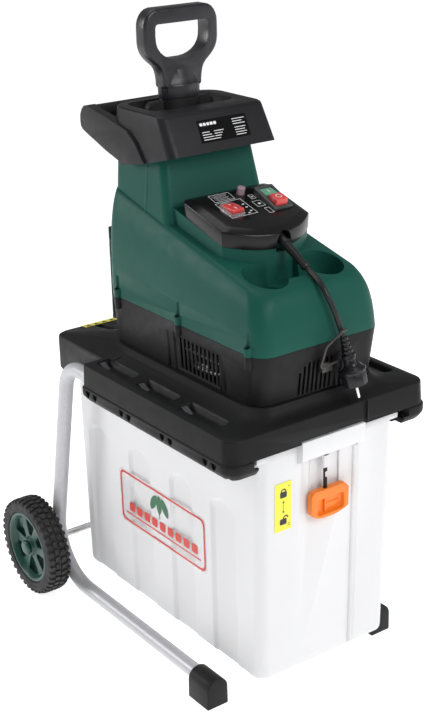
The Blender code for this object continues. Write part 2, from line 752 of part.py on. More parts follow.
outer = rounded(u0, u1, v0, v1, 2.0, 2.0, 2)
inner = rounded(u0 + 1.0, u1 - 1.0, v0 + 1.0, v1 - 1.0, 2.0, 2.0, 2)
frame = loft("switch_plate", [[on_panel(u, v, 0.3) for u, v in outer], bezel(outer, 1.0), bezel(inner, 0.0)])
join(frame, panel_box("switch_body", u0 + 2.6, u1 - 2.6, v0 + 2.6, v1 - 2.6, -19.0, 3.0))
cut(
    frame,
    panel_box("green_well", u0 + 5.0, u1 - 5.0, v0 + 31.0, v1 - 5.0, -6.0, 19.0),
    panel_box("red_well", u0 + 5.0, u1 - 5.0, v0 + 5.0, v0 + 28.5, -6.0, 19.0),
)
panel_box("start_button", u0 + 5.4, u1 - 5.4, v0 + 31.4, v1 - 5.4, -2.0, 10.5, 0.7)
panel_box("stop_button", u0 + 5.4, u1 - 5.4, v0 + 5.4, v0 + 28.1, -2.0, 14.5, 1.4)

guard = panel_loft(
    "rocker_cover",
    [
        (circle(ROCKER[0], ROCKER[1], 18.0, 22.0, 28), 0.3),
        (circle(ROCKER[0], ROCKER[1], 17.6, 21.6, 28), 2.2),
        (circle(ROCKER[0], ROCKER[1], 16.0, 20.0, 28), 3.6),
    ],
)
join(guard, rocker_box("guard_body", 13.0, 17.6, -18.0, 2.0))
cut(guard, rocker_box("rocker_room", 11.6, 16.4, -12.0, 9.0, 0.0, 1.0))
rocker_side = [
    (-14.6, 4.2), (-13.0, 9.0), (0.0, 6.6), (13.0, 4.6),
    (14.8, 2.4), (12.0, -1.5), (0.0, -4.5), (-12.0, -1.5),
]
loft(
    "selector_rocker",
    [[on_panel(ROCKER[0] + q, ROCKER[1] + p, w) for p, w in rocker_side] for q in (-11.0, 11.0)],
)
reset_rings = []
for radius, w in ((6.4, -9.0), (6.4, 10.0), (5.6, 11.0)):
    reset_rings.append((circle(RESET[0], RESET[1], radius, radius, 18), w))
panel_loft("reset_button", reset_rings)

# ---------------------------------------------------------------- mains cord
gland_path = [
    (7.4, 146.0, 722.6), (8.0, 128.0, 714.0), (8.8, 112.0, 704.6), (9.4, 96.0, 695.3), (9.8, 84.5, 688.6),
    (9.9, 83.4, 688.0), (10.0, 79.6, 685.8), (10.05, 78.6, 685.2),
]
swept("strain_relief", gland_path, [7.6, 7.2, 6.6, 6.1, 5.9, 7.0, 7.0, 5.4], 14)

CORD_KNOTS = [
    (10.1, 78.2, 685.0), (10.4, 70.0, 681.2), (9.4, 59.0, 677.6), (7.8, 48.0, 673.2), (7.2, 38.5, 665.8),
    (9.4, 31.0, 655.0), (13.4, 25.5, 641.5), (18.2, 21.5, 626.0), (23.2, 18.8, 608.5), (27.8, 16.0, 592.6),
]


def spline(knots, step):
    points = []
    count = len(knots)
    for i in range(count - 1):
        p0 = knots[max(0, i - 1)]
        p1, p2 = knots[i], knots[i + 1]
        p3 = knots[min(count - 1, i + 2)]
        for k in range(step):
            t = k / step
            point = []
            for a, b, c, d in zip(p0, p1, p2, p3):
                bend = (2 * a - 5 * b + 4 * c - d) * t * t + (3 * b - a - 3 * c + d) * t**3
                point.append(0.5 * (2 * b + (c - a) * t + bend))
            points.append(tuple(point))
    points.append(knots[-1])
    return points


CORD_RADIUS = 4.2
cord_curve = bpy.data.curves.new("power_cord", "CURVE")
cord_curve.dimensions = "3D"
cord_curve.bevel_depth = CORD_RADIUS * MM
cord_curve.bevel_resolution = 2
cord_curve.use_fill_caps = True
track = cord_curve.splines.new("POLY")
route = spline(CORD_KNOTS, 2)
track.points.add(len(route) - 1)
for node, (x, y, z) in zip(track.points, route):
    node.co = (x * MM, (y - MIDDLE_Y) * MM, z * MM, 1.0)
cord = bpy.data.objects.new("power_cord", cord_curve)
bpy.context.scene.collection.objects.link(cord)

PLUG_START = (28.0, 15.8, 592.0)
PLUG_AXIS = unit((15.8, -17.5, -91.0))
PLUG_SIDE = unit(cross(PLUG_AXIS, (0.0, 1.0, 0.0)))
PLUG_OUT = unit(cross(PLUG_AXIS, PLUG_SIDE))


def on_plug(along, p, q):
    axes = zip(PLUG_START, PLUG_AXIS, PLUG_SIDE, PLUG_OUT)
    return tuple(s + along * a + p * b + q * c for s, a, b, c in axes)


plug_profile = [
    (0.0, 4.9), (1.5, 5.8), (6.0, 5.8), (7.0, 4.9), (9.0, 6.6), (14.0, 6.6), (15.0, 5.4), (17.0, 7.5),
    (22.0, 7.8), (24.0, 6.4), (26.0, 9.2), (33.0, 10.4), (40.0, 10.4), (46.0, 11.6), (50.6, 19.6),
    (52.0, 20.9), (54.0, 20.9), (56.0, 19.6), (75.0, 19.2), (76.4, 18.0),
]
loft("plug_body", [[on_plug(a, p, q) for p, q in circle(0.0, 0.0, r, r, 14)] for a, r in plug_profile])
for number, side in ((1, -9.5), (2, 9.5)):
    rings = []
    for a, r in ((76.7, 2.4), (94.2, 2.4), (95.6, 1.2)):
        rings.append([on_plug(a, side * 0.6 + p, q - side * 0.8) for p, q in circle(0.0, 0.0, r, r, 10)])
    loft(f"plug_pin_{number}", rings)

hook_path = [
    (29.0, 23.0, 552.5), (10.0, 23.0, 550.5), (-8.2, 22.4, 549.0), (-4.6, 21.0, 566.0), (-1.6, 19.0, 580.5),
    (9.5, 13.0, 594.0), (20.0, 8.6, 603.8), (29.0, 10.0, 604.6),
]
hook = swept(
    "cord_hook",
    hook_path,
    2.1,
    8,
    side=(0.3, 1.0, 0.1),
)
plate_outline = [(-6.0, 540.0), (14.0, 540.0), (14.0, 552.0), (-6.0, 556.0)]
hook_plate = prism("hook_plate", plate_outline, "Y", 22.4, 31.6)
join(hook, hook_plate)

# ---------------------------------------------------------------- pusher
handle_half = [
    (0.0, 1035.0), (46.0, 1035.0), (58.0, 1030.0), (66.0, 1020.0), (68.5, 1006.0), (68.5, 984.0),
    (65.0, 969.0), (56.0, 957.0), (45.0, 947.5), (39.0, 938.0), (36.5, 925.0), (36.0, 912.0), (0.0, 912.0),
]
outline = [(PUSH_X + x, z) for x, z in handle_half[1:-1]]
outline += [(PUSH_X - x, z) for x, z in reversed(handle_half[1:-1])]
handle = prism("pusher_handle", outline, "Y", PUSH_Y - 14.0, PUSH_Y + 14.0)
bevel(handle, 6.0, 1, 60.0)
window_half = [(47.0, 1011.0), (49.0, 1006.0), (49.0, 984.0), (42.0, 970.0), (28.0, 960.5), (10.0, 956.5)]
outline = [(PUSH_X + x, z) for x, z in window_half] + [(PUSH_X - x, z) for x, z in reversed(window_half)]
window = prism("window", outline, "Y", PUSH_Y - 30.0, PUSH_Y + 30.0)
neck = loft(
    "neck",
    [
        level(circle(PUSH_X, PUSH_Y, 36.5, 22.0, 28), 897.3),
        level(circle(PUSH_X, PUSH_Y, 36.8, 22.0, 28), 917.0),
        level(circle(PUSH_X, PUSH_Y, 35.6, 20.5, 28), 918.5),
        level(circle(PUSH_X, PUSH_Y, 34.0, 15.0, 28), 940.0),
        level(circle(PUSH_X, PUSH_Y, 28.0, 11.0, 28), 953.0),
    ],
)
join(handle, neck)
cut(handle, window)
bevel(handle, 2.0, 1, 70.0)

stem = prism("pusher_paddle", circle(PUSH_X, PUSH_Y, 35.5, 21.0, 24), "Z", 700.0, 897.0)
vane_outline = [
    (PUSH_X - 62.0, 705.0),
    (PUSH_X + 62.0, 705.0),
    (PUSH_X + 62.0, 882.0),
    (PUSH_X + 55.0, 894.0),
    (PUSH_X - 55.0, 894.0),
    (PUSH_X - 62.0, 882.0),
]
vane = prism("vane", vane_outline, "Y", PUSH_Y - 6.5, PUSH_Y + 6.5)
join(stem, vane)

# ---------------------------------------------------------------- labels on the housing
rating = []
for d in (0.3, 0.7):
    ring = []
    for x, z in ((-39.0, 845.0), (53.0, 845.0), (54.0, 876.0), (-37.0, 876.0)):
        y = 239.0 + (z - 800.0) * 47.0 / 84.0
        ring.append((x, y - d * 0.87, z + d * 0.49))
    rating.append(ring)
loft("rating_label", rating)
back_label = []
for d in (0.3, 0.7):
    ring = []
    for x, y in ((-108.0, 523.0), (-42.0, 523.0), (-42.0, 540.0), (-108.0, 540.0)):
        ring.append((x, y, 491.0 + (541.0 - y) * 6.5 / 49.0 + d))
    back_label.append(ring)
loft("base_label", back_label)

# ---------------------------------------------------------------- motor and cutter
bracket = prism("motor_bracket", rounded(-106.0, 106.0, 60.0, 264.0, 30.0, 6.0, 4), "Z", 541.0, 544.0)
cut(bracket, cylinder("shaft_hole", "Z", CUT_X, CUT_Y, 20.0, 530.0, 560.0, 24))
motor_profile = [
    (544.3, 14.0), (544.3, 61.0), (552.0, 64.0), (612.0, 64.0), (622.0, 56.0), (622.0, 14.0), (618.0, 14.0),
    (618.0, 9.4), (548.0, 9.4), (548.0, 14.0),
]
turned("motor_body", motor_profile, CUT_X, CUT_Y, "Z", 20, closed=True)
cylinder("motor_shaft", "Z", CUT_X, CUT_Y, 8.0, 512.0, 640.0, 20)
fan_profile = [(624.0, 8.3), (624.0, 44.0), (626.5, 44.0), (626.5, 14.0), (634.0, 14.0), (634.0, 8.3)]
fan = turned("cooling_fan", fan_profile, CUT_X, CUT_Y, "Z", 16, closed=True)
blades = []
for k in range(6):
    t = math.radians(60 * k + 7)
    outline = []
    for p, q in ((13.0, -1.0), (42.0, -1.0), (42.0, 1.0), (13.0, 1.0)):
        outline.append((CUT_X + p * math.cos(t) - q * math.sin(t), CUT_Y + p * math.sin(t) + q * math.cos(t)))
    blades.append(prism("blade", outline, "Z", 626.0, 633.0))
join(fan, *blades)
disc_profile = [(515.0, 8.3), (515.0, 104.0), (521.0, 104.0), (521.0, 24.0), (534.0, 24.0), (534.0, 8.3)]
disc = turned("cutting_disc", disc_profile, CUT_X, CUT_Y, "Z", 28, closed=True)
slots = []
for number, sign in ((1, 1), (2, -1)):
    x0, x1 = sorted((CUT_X + sign * 40.0, CUT_X + sign * 96.0))
    y0, y1 = sorted((CUT_Y + sign * 14.0, CUT_Y + sign * 24.0))
    slots.append(box("chip_slot", x0, x1, y0, y1, 505.0, 530.0))
cut(disc, *slots)
for number, sign in ((1, 1), (2, -1)):
    x0, x1 = sorted((CUT_X + sign * 38.0, CUT_X + sign * 98.0))
    near, far = CUT_Y + sign * 16.0, CUT_Y - sign * 16.0
    lowest = 521.3
    top = lowest + 4.0
    ring_a = [(x0, far, lowest), (x0, near, lowest), (x0, near + sign * 3.0, top), (x0, far, top)]
    ring_b = [(x1, y, z) for _, y, z in ring_a]
    loft(f"knife_{number}", [ring_a, ring_b])
ramp_outline = [(309.0, 526.0), (311.0, 524.5), (413.0, 632.0), (411.0, 633.5)]
prism("feed_ramp", ramp_outline, "X", -82.0, 82.0)
turned("disc_bolt", [(505.5, 9.0), (511.7, 9.0)], CUT_X, CUT_Y, "Z", 6)
cylinder("motor_capacitor", "Z", -62.0, 76.0, 17.0, 546.0, 612.0, 20)
safety = box("safety_switch", 40.0, 62.0, 8.0, 20.0, 458.0, 474.0)
bevel(safety, 1.0, 1, 50.0)

# ---------------------------------------------------------------- pivots and shading
PIVOTS = {
    "wheel_tyre_left": (-WHEEL_MIDDLE, AXLE_Y, AXLE_Z),
    "wheel_hub_left": (-WHEEL_MIDDLE, AXLE_Y, AXLE_Z),
    "hub_cap_left": (-WHEEL_MIDDLE, AXLE_Y, AXLE_Z),
    "wheel_tyre_right": (WHEEL_MIDDLE, AXLE_Y, AXLE_Z),
    "wheel_hub_right": (WHEEL_MIDDLE, AXLE_Y, AXLE_Z),
    "hub_cap_right": (WHEEL_MIDDLE, AXLE_Y, AXLE_Z),
    "motor_shaft": (CUT_X, CUT_Y, 500.0),
    "cooling_fan": (CUT_X, CUT_Y, 500.0),
    "cutting_disc": (CUT_X, CUT_Y, 500.0),
    "knife_1": (CUT_X, CUT_Y, 500.0),
    "knife_2": (CUT_X, CUT_Y, 500.0),
    "disc_bolt": (CUT_X, CUT_Y, 500.0),
    "selector_rocker": on_panel(ROCKER[0], ROCKER[1], 0.0),
    "start_button": on_panel(45.5, 54.0, 0.0),
    "stop_button": on_panel(45.5, 30.0, 0.0),
    "reset_button": on_panel(RESET[0], RESET[1], 0.0),
    "pusher_handle": (PUSH_X, PUSH_Y, 889.0),
    "pusher_paddle": (PUSH_X, PUSH_Y, 889.0),
    "collection_box": (0.0, MIDDLE_Y, BOX_FLOOR),
    "latch_label": (0.0, MIDDLE_Y, BOX_FLOOR),
    "side_label": (0.0, MIDDLE_Y, BOX_FLOOR),
    "latch_slider": (0.0, 0.0, 328.0),
    "latch_tongue": (0.0, 0.0, 328.0),
}
for name, (x, y, z) in PIVOTS.items():
    piece = bpy.data.objects[name]
    spot = Vector((x * MM, (y - MIDDLE_Y) * MM, z * MM))
    piece.data.transform(Matrix.Translation(-spot))
    piece.location = spot
for obj in bpy.data.objects:
    if obj.type == "MESH":
        obj.data.shade_smooth()
        obj.data.set_sharp_from_angle(angle=math.radians(35.0))

# ---------------------------------------------------------------- materials
PAINTS = {
    "base_chassis": (0.035, 0.036, 0.038, 0.0, 0.5),
    "leg_tube": (0.42, 0.42, 0.45, 0.6, 0.35),
    "foot_cap": (0.02, 0.02, 0.02, 0.0, 0.6),
    "axle": (0.6, 0.6, 0.62, 1.0, 0.3),
    "wheel_tyre": (0.025, 0.025, 0.025, 0.0, 0.8),
    "wheel_hub": (0.02, 0.11, 0.08, 0.0, 0.45),
    "hub_cap": (0.02, 0.12, 0.09, 0.0, 0.45),
    "collection_box": (0.85, 0.85, 0.86, 0.0, 0.4),
    "latch_slider": (0.9, 0.25, 0.02, 0.0, 0.4),
    "latch_tongue": (0.03, 0.03, 0.03, 0.0, 0.5),
    "latch_label": (0.9, 0.85, 0.05, 0.0, 0.5),
    "side_label": (0.8, 0.8, 0.8, 0.0, 0.4),
    "lower_housing": (0.035, 0.036, 0.038, 0.0, 0.5),
    "upper_housing": (0.02, 0.13, 0.095, 0.0, 0.5),
    "housing_screw": (0.1, 0.1, 0.1, 1.0, 0.4),
    "hopper_collar": (0.03, 0.03, 0.032, 0.0, 0.55),
    "rear_plate": (0.5, 0.5, 0.52, 1.0, 0.35),
    "control_box": (0.012, 0.012, 0.013, 0.0, 0.2),
    "switch_plate": (0.03, 0.03, 0.03, 0.0, 0.4),
    "start_button": (0.1, 0.45, 0.2, 0.0, 0.35),
    "stop_button": (0.75, 0.04, 0.04, 0.0, 0.35),
    "rocker_cover": (0.5, 0.5, 0.5, 0.0, 0.1),
    "selector_rocker": (0.8, 0.03, 0.02, 0.0, 0.3),
    "reset_button": (0.7, 0.5, 0.55, 0.0, 0.1),
    "strain_relief": (0.03, 0.03, 0.035, 0.0, 0.5),
    "power_cord": (0.05, 0.045, 0.05, 0.0, 0.6),
    "plug_body": (0.03, 0.03, 0.035, 0.0, 0.5),
    "plug_pin": (0.7, 0.7, 0.7, 1.0, 0.2),
    "cord_hook": (0.05, 0.045, 0.045, 0.0, 0.5),
    "pusher_handle": (0.03, 0.03, 0.032, 0.0, 0.5),
    "pusher_paddle": (0.02, 0.02, 0.022, 0.0, 0.6),
    "rating_label": (0.01, 0.01, 0.01, 0.0, 0.4),
    "base_label": (0.85, 0.8, 0.1, 0.0, 0.5),
    "motor_bracket": (0.5, 0.5, 0.5, 1.0, 0.4),
    "motor_body": (0.3, 0.3, 0.32, 1.0, 0.45),
    "motor_shaft": (0.6, 0.6, 0.6, 1.0, 0.25),
    "cooling_fan": (0.04, 0.04, 0.04, 0.0, 0.5),
    "cutting_disc": (0.45, 0.45, 0.47, 1.0, 0.35),
    "knife": (0.65, 0.65, 0.67, 1.0, 0.2),
    "feed_ramp": (0.5, 0.5, 0.52, 1.0, 0.4),
    "disc_bolt": (0.4, 0.4, 0.4, 1.0, 0.3),
    "motor_capacitor": (0.6, 0.6, 0.6, 0.0, 0.4),
    "safety_switch": (0.03, 0.03, 0.03, 0.0, 0.5),
}
for obj in list(bpy.data.objects):
    key = next((word for word in PAINTS if obj.name.startswith(word)), None)
    if key is None:
        raise ValueError(obj.name)
    red, green, blue, metal, rough = PAINTS[key]
    paint = bpy.data.materials.new(obj.name)
    paint.use_nodes = True
    paint.diffuse_color = (red, green, blue, 1.0)
    shader = paint.node_tree.nodes["Principled BSDF"]
    shader.inputs["Base Color"].default_value = (red, green, blue, 1.0)
    shader.inputs["Metallic"].default_value = metal
    shader.inputs["Roughness"].default_value = rough
    obj.data.materials.clear()
    obj.data.materials.append(paint)
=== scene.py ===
"""The looks of the garden wood chipper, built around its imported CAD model."""
import json
from contextlib import contextmanager
from math import atan, cos, pi, radians, sin, tan

import bmesh
import bpy
from mathutils import Matrix, Vector


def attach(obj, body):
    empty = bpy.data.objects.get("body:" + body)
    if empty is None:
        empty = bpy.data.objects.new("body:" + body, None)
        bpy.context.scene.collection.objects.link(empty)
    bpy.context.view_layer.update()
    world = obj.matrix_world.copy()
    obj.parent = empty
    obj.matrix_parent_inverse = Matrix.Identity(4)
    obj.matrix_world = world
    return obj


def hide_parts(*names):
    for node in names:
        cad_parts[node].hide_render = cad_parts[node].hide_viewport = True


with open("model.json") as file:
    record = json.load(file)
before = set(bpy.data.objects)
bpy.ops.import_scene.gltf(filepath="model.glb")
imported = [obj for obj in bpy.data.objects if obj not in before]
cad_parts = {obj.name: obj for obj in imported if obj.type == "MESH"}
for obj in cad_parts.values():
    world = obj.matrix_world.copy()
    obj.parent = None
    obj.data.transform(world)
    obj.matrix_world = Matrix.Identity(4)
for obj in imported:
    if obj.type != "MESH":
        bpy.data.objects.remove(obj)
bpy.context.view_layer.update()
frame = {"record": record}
BODY_OF = {}
for body, members in frame["record"]["behaviour"]["bodies"].items():
    for member in members:
        BODY_OF[member] = body

# Sizes are in millimetres: X left to right, Y from the front face backwards, Z up from the floor.
MM = 0.001
MIDDLE_Y = 329.35
WHEEL_OUT = 233
WHEEL_MID = 211.5
AXLE_Y = 569.7
AXLE_Z = 89
TUBE_X = 172.4
TUBE_RADIUS = 12.5
RUNNER_Z = 34.5
ARM_Z = 455
BASE_HALF = 194.5
BASE_TOP = 505
BOX_FLOOR = 54
BOX_RIM = 446
PANEL_Y = 162
PANEL_Z = 744
PANEL_RISE = 0.27
PANEL_TILT = atan(PANEL_RISE)
PUSH_X = -3
PUSH_Y = 374
SPLIT_Z = 584.9
BOSS_X = 117.5
SCREW_X = 119
SCREW_Y = {-1: (398, 229, 55), 1: (398, 229, 61)}


# ---- mesh tools
def point(x, y, z):
    return Vector((x * MM, (y - MIDDLE_Y) * MM, z * MM))


def add_object(name, data):
    obj = bpy.data.objects.new(name, data)
    bpy.context.scene.collection.objects.link(obj)
    return obj


@contextmanager
def editing(data):
    """Opens a mesh for editing and writes it back."""
    shape = bmesh.new()
    shape.from_mesh(data)
    yield shape
    shape.to_mesh(data)
    shape.free()


def make(name, verts, faces):
    data = bpy.data.meshes.new(name)
    data.from_pydata([point(*v) for v in verts], [], faces)
    with editing(data) as shape:
        bmesh.ops.remove_doubles(shape, verts=shape.verts, dist=1e-6)
        bmesh.ops.recalc_face_normals(shape, faces=shape.faces)
    return add_object(name, data)


def loft(name, rings, closed=False):
    count = len(rings[0])
    verts = [p for ring in rings for p in ring]
    faces = []
    last = len(rings) if closed else len(rings) - 1
    for row in range(last):
        a = row * count
        b = ((row + 1) % len(rings)) * count
        for i in range(count):
            j = (i + 1) % count
            faces.append((a + i, a + j, b + j, b + i))
    if not closed:
        faces.append(tuple(range(count - 1, -1, -1)))
        faces.append(tuple(range(len(verts) - count, len(verts))))
    return make(name, verts, faces)


def box(name, x0, x1, y0, y1, z0, z1):
    low = [(x0, y0, z0), (x1, y0, z0), (x1, y1, z0), (x0, y1, z0)]
    return loft(name, [low, [(x, y, z1) for x, y, _ in low]])


def prism(name, outline, axis, a, b):
    """An outline pushed along an axis, from a to b."""
    where = "XYZ".index(axis)
    return loft(name, [[(*spot[:where], v, *spot[where:]) for spot in outline] for v in (a, b)])


def circle(cx, cy, rx, ry, count):
    steps = [2 * pi * i / count for i in range(count)]
    return [(cx + rx * cos(t), cy + ry * sin(t)) for t in steps]


def cylinder(name, axis, cx, cy, radius, a, b, count=32):
    return prism(name, circle(cx, cy, radius, radius, count), axis, a, b)


def rounded(x0, x1, y0, y1, front, back, steps=8):
    points = []
    corners = [
        (x1 - front, y0 + front, front, -90),
        (x1 - back, y1 - back, back, 0),
        (x0 + back, y1 - back, back, 90),
        (x0 + front, y0 + front, front, 180),
    ]
    for cx, cy, r, start in corners:
        for i in range(steps + 1):
            t = radians(start + 90 * i / steps)
            points.append((cx + r * cos(t), cy + r * sin(t)))
    return points


def level(outline, z):
    return [(x, y, z) for x, y in outline]


def stack(name, rows, steps=8):
    """A loft of rounded rectangles, each row: height, half width, front, back, two corner radii."""
    return loft(name, [level(rounded(-half, half, *row, steps), z) for z, half, *row in rows])


def arc(cy, cz, radius, start, end, steps, tall=None):
    """Points from one angle to another, on a circle or an ellipse with this upright radius."""
    points = []
    for i in range(steps + 1):
        t = radians(start + (end - start) * i / steps)
        points.append((cy + radius * cos(t), cz + (tall or radius) * sin(t)))
    return points


def turned(name, profile, cx, cy, axis, count, closed=False):
    """A profile turned round an axis; a closed one leaves its bore open."""
    verts = []
    for i in range(count):
        t = 2 * pi * i / count
        for along, radius in profile:
            p = cx + radius * cos(t)
            q = cy + radius * sin(t)
            verts.append((along, p, q) if axis == "X" else (p, q, along))
    faces = []
    size = len(profile)
    edges = size if closed else size - 1
    for i in range(count):
        j = (i + 1) % count
        for k in range(edges):
            m = (k + 1) % size
            faces.append((i * size + k, j * size + k, j * size + m, i * size + m))
    if not closed:
        faces.append(tuple(i * size for i in range(count)))
        faces.append(tuple(i * size + size - 1 for i in range(count)))
    return make(name, verts, faces)


def spline(knots, step):
    """A smooth curve through the knots, with step points for each stretch."""
    points = []
    count = len(knots)
    for i in range(count - 1):
        p0, p1, p2 = knots[max(0, i - 1)], knots[i], knots[i + 1]
        p3 = knots[min(count - 1, i + 2)]
        for k in range(step):
            t = k / step
            spot = []
            for a, b, c, d in zip(p0, p1, p2, p3):
                bend = (2 * a - 5 * b + 4 * c - d) * t * t + (3 * b - a - 3 * c + d) * t**3
                spot.append(0.5 * (2 * b + (c - a) * t + bend))
            points.append(tuple(spot))
    points.append(tuple(knots[-1]))
    return points


def swept(name, path, radii, count, side=(1, 0, 0)):
    """A round bar along a path, with one radius or one for each point."""
    rings = []
    for k, spot in enumerate(path):
        before = Vector(path[max(0, k - 1)])
        after = Vector(path[min(len(path) - 1, k + 1)])
        along = (after - before).normalized()
        first = along.cross(Vector(side)).normalized()
        second = along.cross(first).normalized()
        r = radii[k] if isinstance(radii, (list, tuple)) else radii
        ring = []
        for i in range(count):
            t = 2 * pi * i / count
            ring.append(tuple(Vector(spot) + first * r * cos(t) + second * r * sin(t)))
        rings.append(ring)
    return loft(name, rings)


def bake(obj):
    graph = bpy.context.evaluated_depsgraph_get()
    data = bpy.data.meshes.new_from_object(obj.evaluated_get(graph))
    obj.modifiers.clear()
    used = obj.data
    obj.data = data
    bpy.data.meshes.remove(used)
    return obj


def combine(obj, tools, operation):
    for tool in tools:
        change = obj.modifiers.new(operation.lower(), "BOOLEAN")
        change.operation = operation
        change.solver = "EXACT"
        change.object = tool
    bake(obj)
    for tool in tools:
        bpy.data.objects.remove(tool, do_unlink=True)
    return obj


def cut(obj, *tools):
    return combine(obj, list(tools), "DIFFERENCE")


def join(obj, *tools):
    return combine(obj, list(tools), "UNION")


def lump(obj, *others):
    """Puts the other meshes into the first one as they are."""
    with editing(obj.data) as shape:
        for other in others:
            shape.from_mesh(other.data)
            bpy.data.objects.remove(other, do_unlink=True)
    return obj


def soften(obj, width, segments=2, angle=35):
    """Merges what is flat or tiny, then rounds the edges sharper than the angle."""
    with editing(obj.data) as shape:
        bmesh.ops.remove_doubles(shape, verts=shape.verts, dist=2e-5)
        bmesh.ops.dissolve_degenerate(shape, edges=shape.edges, dist=2e-5)
        flat = radians(0.4)
        bmesh.ops.dissolve_limit(shape, angle_limit=flat, verts=shape.verts, edges=shape.edges)
    change = obj.modifiers.new("bevel", "BEVEL")
    change.width = width * MM
    change.segments = segments
    change.limit_method = "ANGLE"
    change.angle_limit = radians(angle)
    change.use_clamp_overlap = True
    change.miter_outer = "MITER_ARC"
    return bake(obj)


def mirrored(obj):
    data = obj.data.copy()
    for vertex in data.vertices:
        vertex.co.x = -vertex.co.x
    data.flip_normals()
    return add_object(obj.name, data)


def finished(obj, node, material, smooth=38, stands_for=True, name=None):
    """Dresses a piece: material, shading, and the CAD node that it shows and rides with."""
    obj.name = name or f"{node}_shape"
    obj.data.name = obj.name
    obj.data.materials.clear()
    obj.data.materials.append(material)
    obj.data.shade_smooth()
    obj.data.set_sharp_from_angle(angle=radians(smooth))
    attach(obj, BODY_OF[node])
    if stands_for:
        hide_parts(node)
    return obj


def finish_pair(obj, node, material):
    """Dresses a right-hand piece and its mirror image on the left."""
    other = mirrored(obj)
    finished(obj, f"{node}_right", material)
    finished(other, f"{node}_left", material)


def on_panel(u, v, w):
    y = PANEL_Y + v * cos(PANEL_TILT) - w * sin(PANEL_TILT)
    z = PANEL_Z + v * sin(PANEL_TILT) + w * cos(PANEL_TILT)
    return (u, y, z)


def panel_loft(name, layers):
    return loft(name, [[on_panel(u, v, w) for u, v in outline] for outline, w in layers])


def panel_box(name, u0, u1, v0, v1, w0, w1, shrink=0, r=2, steps=4):
    low = rounded(u0, u1, v0, v1, r, r, steps)
    high = rounded(u0 + shrink, u1 - shrink, v0 + shrink, v1 - shrink, r, r, steps)
    return panel_loft(name, [(low, w0), (high, w1)])


def ring_outline(cx, cz, outer, inner, start, end, steps=16):
    outside = arc(cx, cz, outer, start, end, steps)
    return outside + arc(cx, cz, inner, end, start, steps)


def ink(shapes, node, material, name):
    finished(lump(*shapes), node, material, stands_for=False, name=name)


# How far a film and a print stand off their surface, and how thick they are.
FILM = (0.3, 0.4)
INK = (0.72, 0.1)
SIDE_INK = (0.72, 0.12)
PANEL_INK = (0.05, 0.13)


def dash(x0, x1, low, tall=0.9):
    """The outline of a short printed line."""
    return rounded(x0, x1, low, low + tall, 0.3, 0.3, 2)


def stamp(spot, outline, out, thick):
    """A film or print on the surface whose spot function takes two places and a height."""
    return loft("print", [[spot(a, b, d) for a, b in outline] for d in (out, out + thick)])


# ---- materials
class Nodes:
    """A short way to write a material's node tree."""

    def __init__(self, name, color, rough, metal=0):
        self.material = bpy.data.materials.new(name)
        self.material.use_nodes = True
        self.material.diffuse_color = (*color, 1)
        self.tree = self.material.node_tree
        self.shader = self.tree.nodes["Principled BSDF"]
        self.set(Base_Color=(*color, 1), Roughness=rough, Metallic=metal)
        self.place = self.add("ShaderNodeTexCoord").outputs["Object"]
        self.height = None

    def set(self, **values):
        for key, value in values.items():
            self.shader.inputs[key.replace("_", " ")].default_value = value

    def add(self, kind, **values):
        node = self.tree.nodes.new(kind)
        for key, value in values.items():
            if hasattr(node, key):
                setattr(node, key, value)
            else:
                node.inputs[key.replace("_", " ")].default_value = value
        return node

    def link(self, a, b):
        self.tree.links.new(a, b)

    def noise(self, scale, detail=2, stretch=None):
        node = self.add("ShaderNodeTexNoise", Scale=scale, Detail=detail)
        source = self.place
        if stretch:
            mapping = self.add("ShaderNodeMapping", Scale=stretch)
            self.link(source, mapping.inputs["Vector"])
            source = mapping.outputs["Vector"]
        self.link(source, node.inputs["Vector"])
        return node.outputs["Fac"]

    def spread(self, fac, low, high, start=0.3, end=0.7):
        node = self.add("ShaderNodeMapRange", From_Min=start, From_Max=end, To_Min=low, To_Max=high)
        self.link(fac, node.inputs["Value"])
        return node.outputs["Result"]

    def tint(self, fac, first, second):
        node = self.add("ShaderNodeMix", data_type="RGBA", A=(*first, 1), B=(*second, 1))
        self.link(fac, node.inputs["Factor"])
        self.link(node.outputs["Result"], self.shader.inputs["Base Color"])

    def mottle(self, scale, detail, first, second, stretch=None):
        """Colour that drifts between two tones."""
        self.tint(self.spread(self.noise(scale, detail, stretch), 0, 1), first, second)

    def rough(self, fac, low, high):
        self.link(self.spread(fac, low, high), self.shader.inputs["Roughness"])

    def bump(self, fac, strength, distance=0.0004):
        node = self.add("ShaderNodeBump", Strength=strength, Distance=distance)
        self.link(fac, node.inputs["Height"])
        if self.height is not None:
            self.link(self.height, node.inputs["Normal"])
        self.height = node.outputs["Normal"]
        self.link(self.height, self.shader.inputs["Normal"])


def grained(name, dark, light, rough, grain=1500, strength=0.25, spread=0.06, sheen=0.5):
    """Moulded plastic with a fine spark-eroded grain."""
    m = Nodes(name, dark, rough)
    m.mottle(9, 3, dark, light)
    m.rough(m.noise(60, 4), rough - spread, rough + spread)
    m.bump(m.noise(grain), strength, 0.0003)
    m.bump(m.noise(14, 1), 0.08, 0.0015)
    m.set(Specular_IOR_Level=sheen)
    return m.material


def glossy(name, dark, light, rough, coat=0):
    m = Nodes(name, dark, rough)
    m.mottle(22, 2, dark, light)
    m.rough(m.noise(90, 3), rough * 0.8, rough * 1.25)
    m.bump(m.noise(120), 0.03, 0.0004)
    m.set(Coat_Weight=coat, Coat_Roughness=0.08)
    return m.material


def metallic(name, dark, light, rough, metal=1, stretch=None, scale=300):
    m = Nodes(name, dark, rough, metal)
    m.mottle(scale * 0.2, 3, dark, light, stretch)
    m.rough(m.noise(scale, 3, stretch), rough - 0.08, rough + 0.08)
    m.bump(m.noise(scale * 2, stretch=stretch), 0.06, 0.0002)
    return m.material


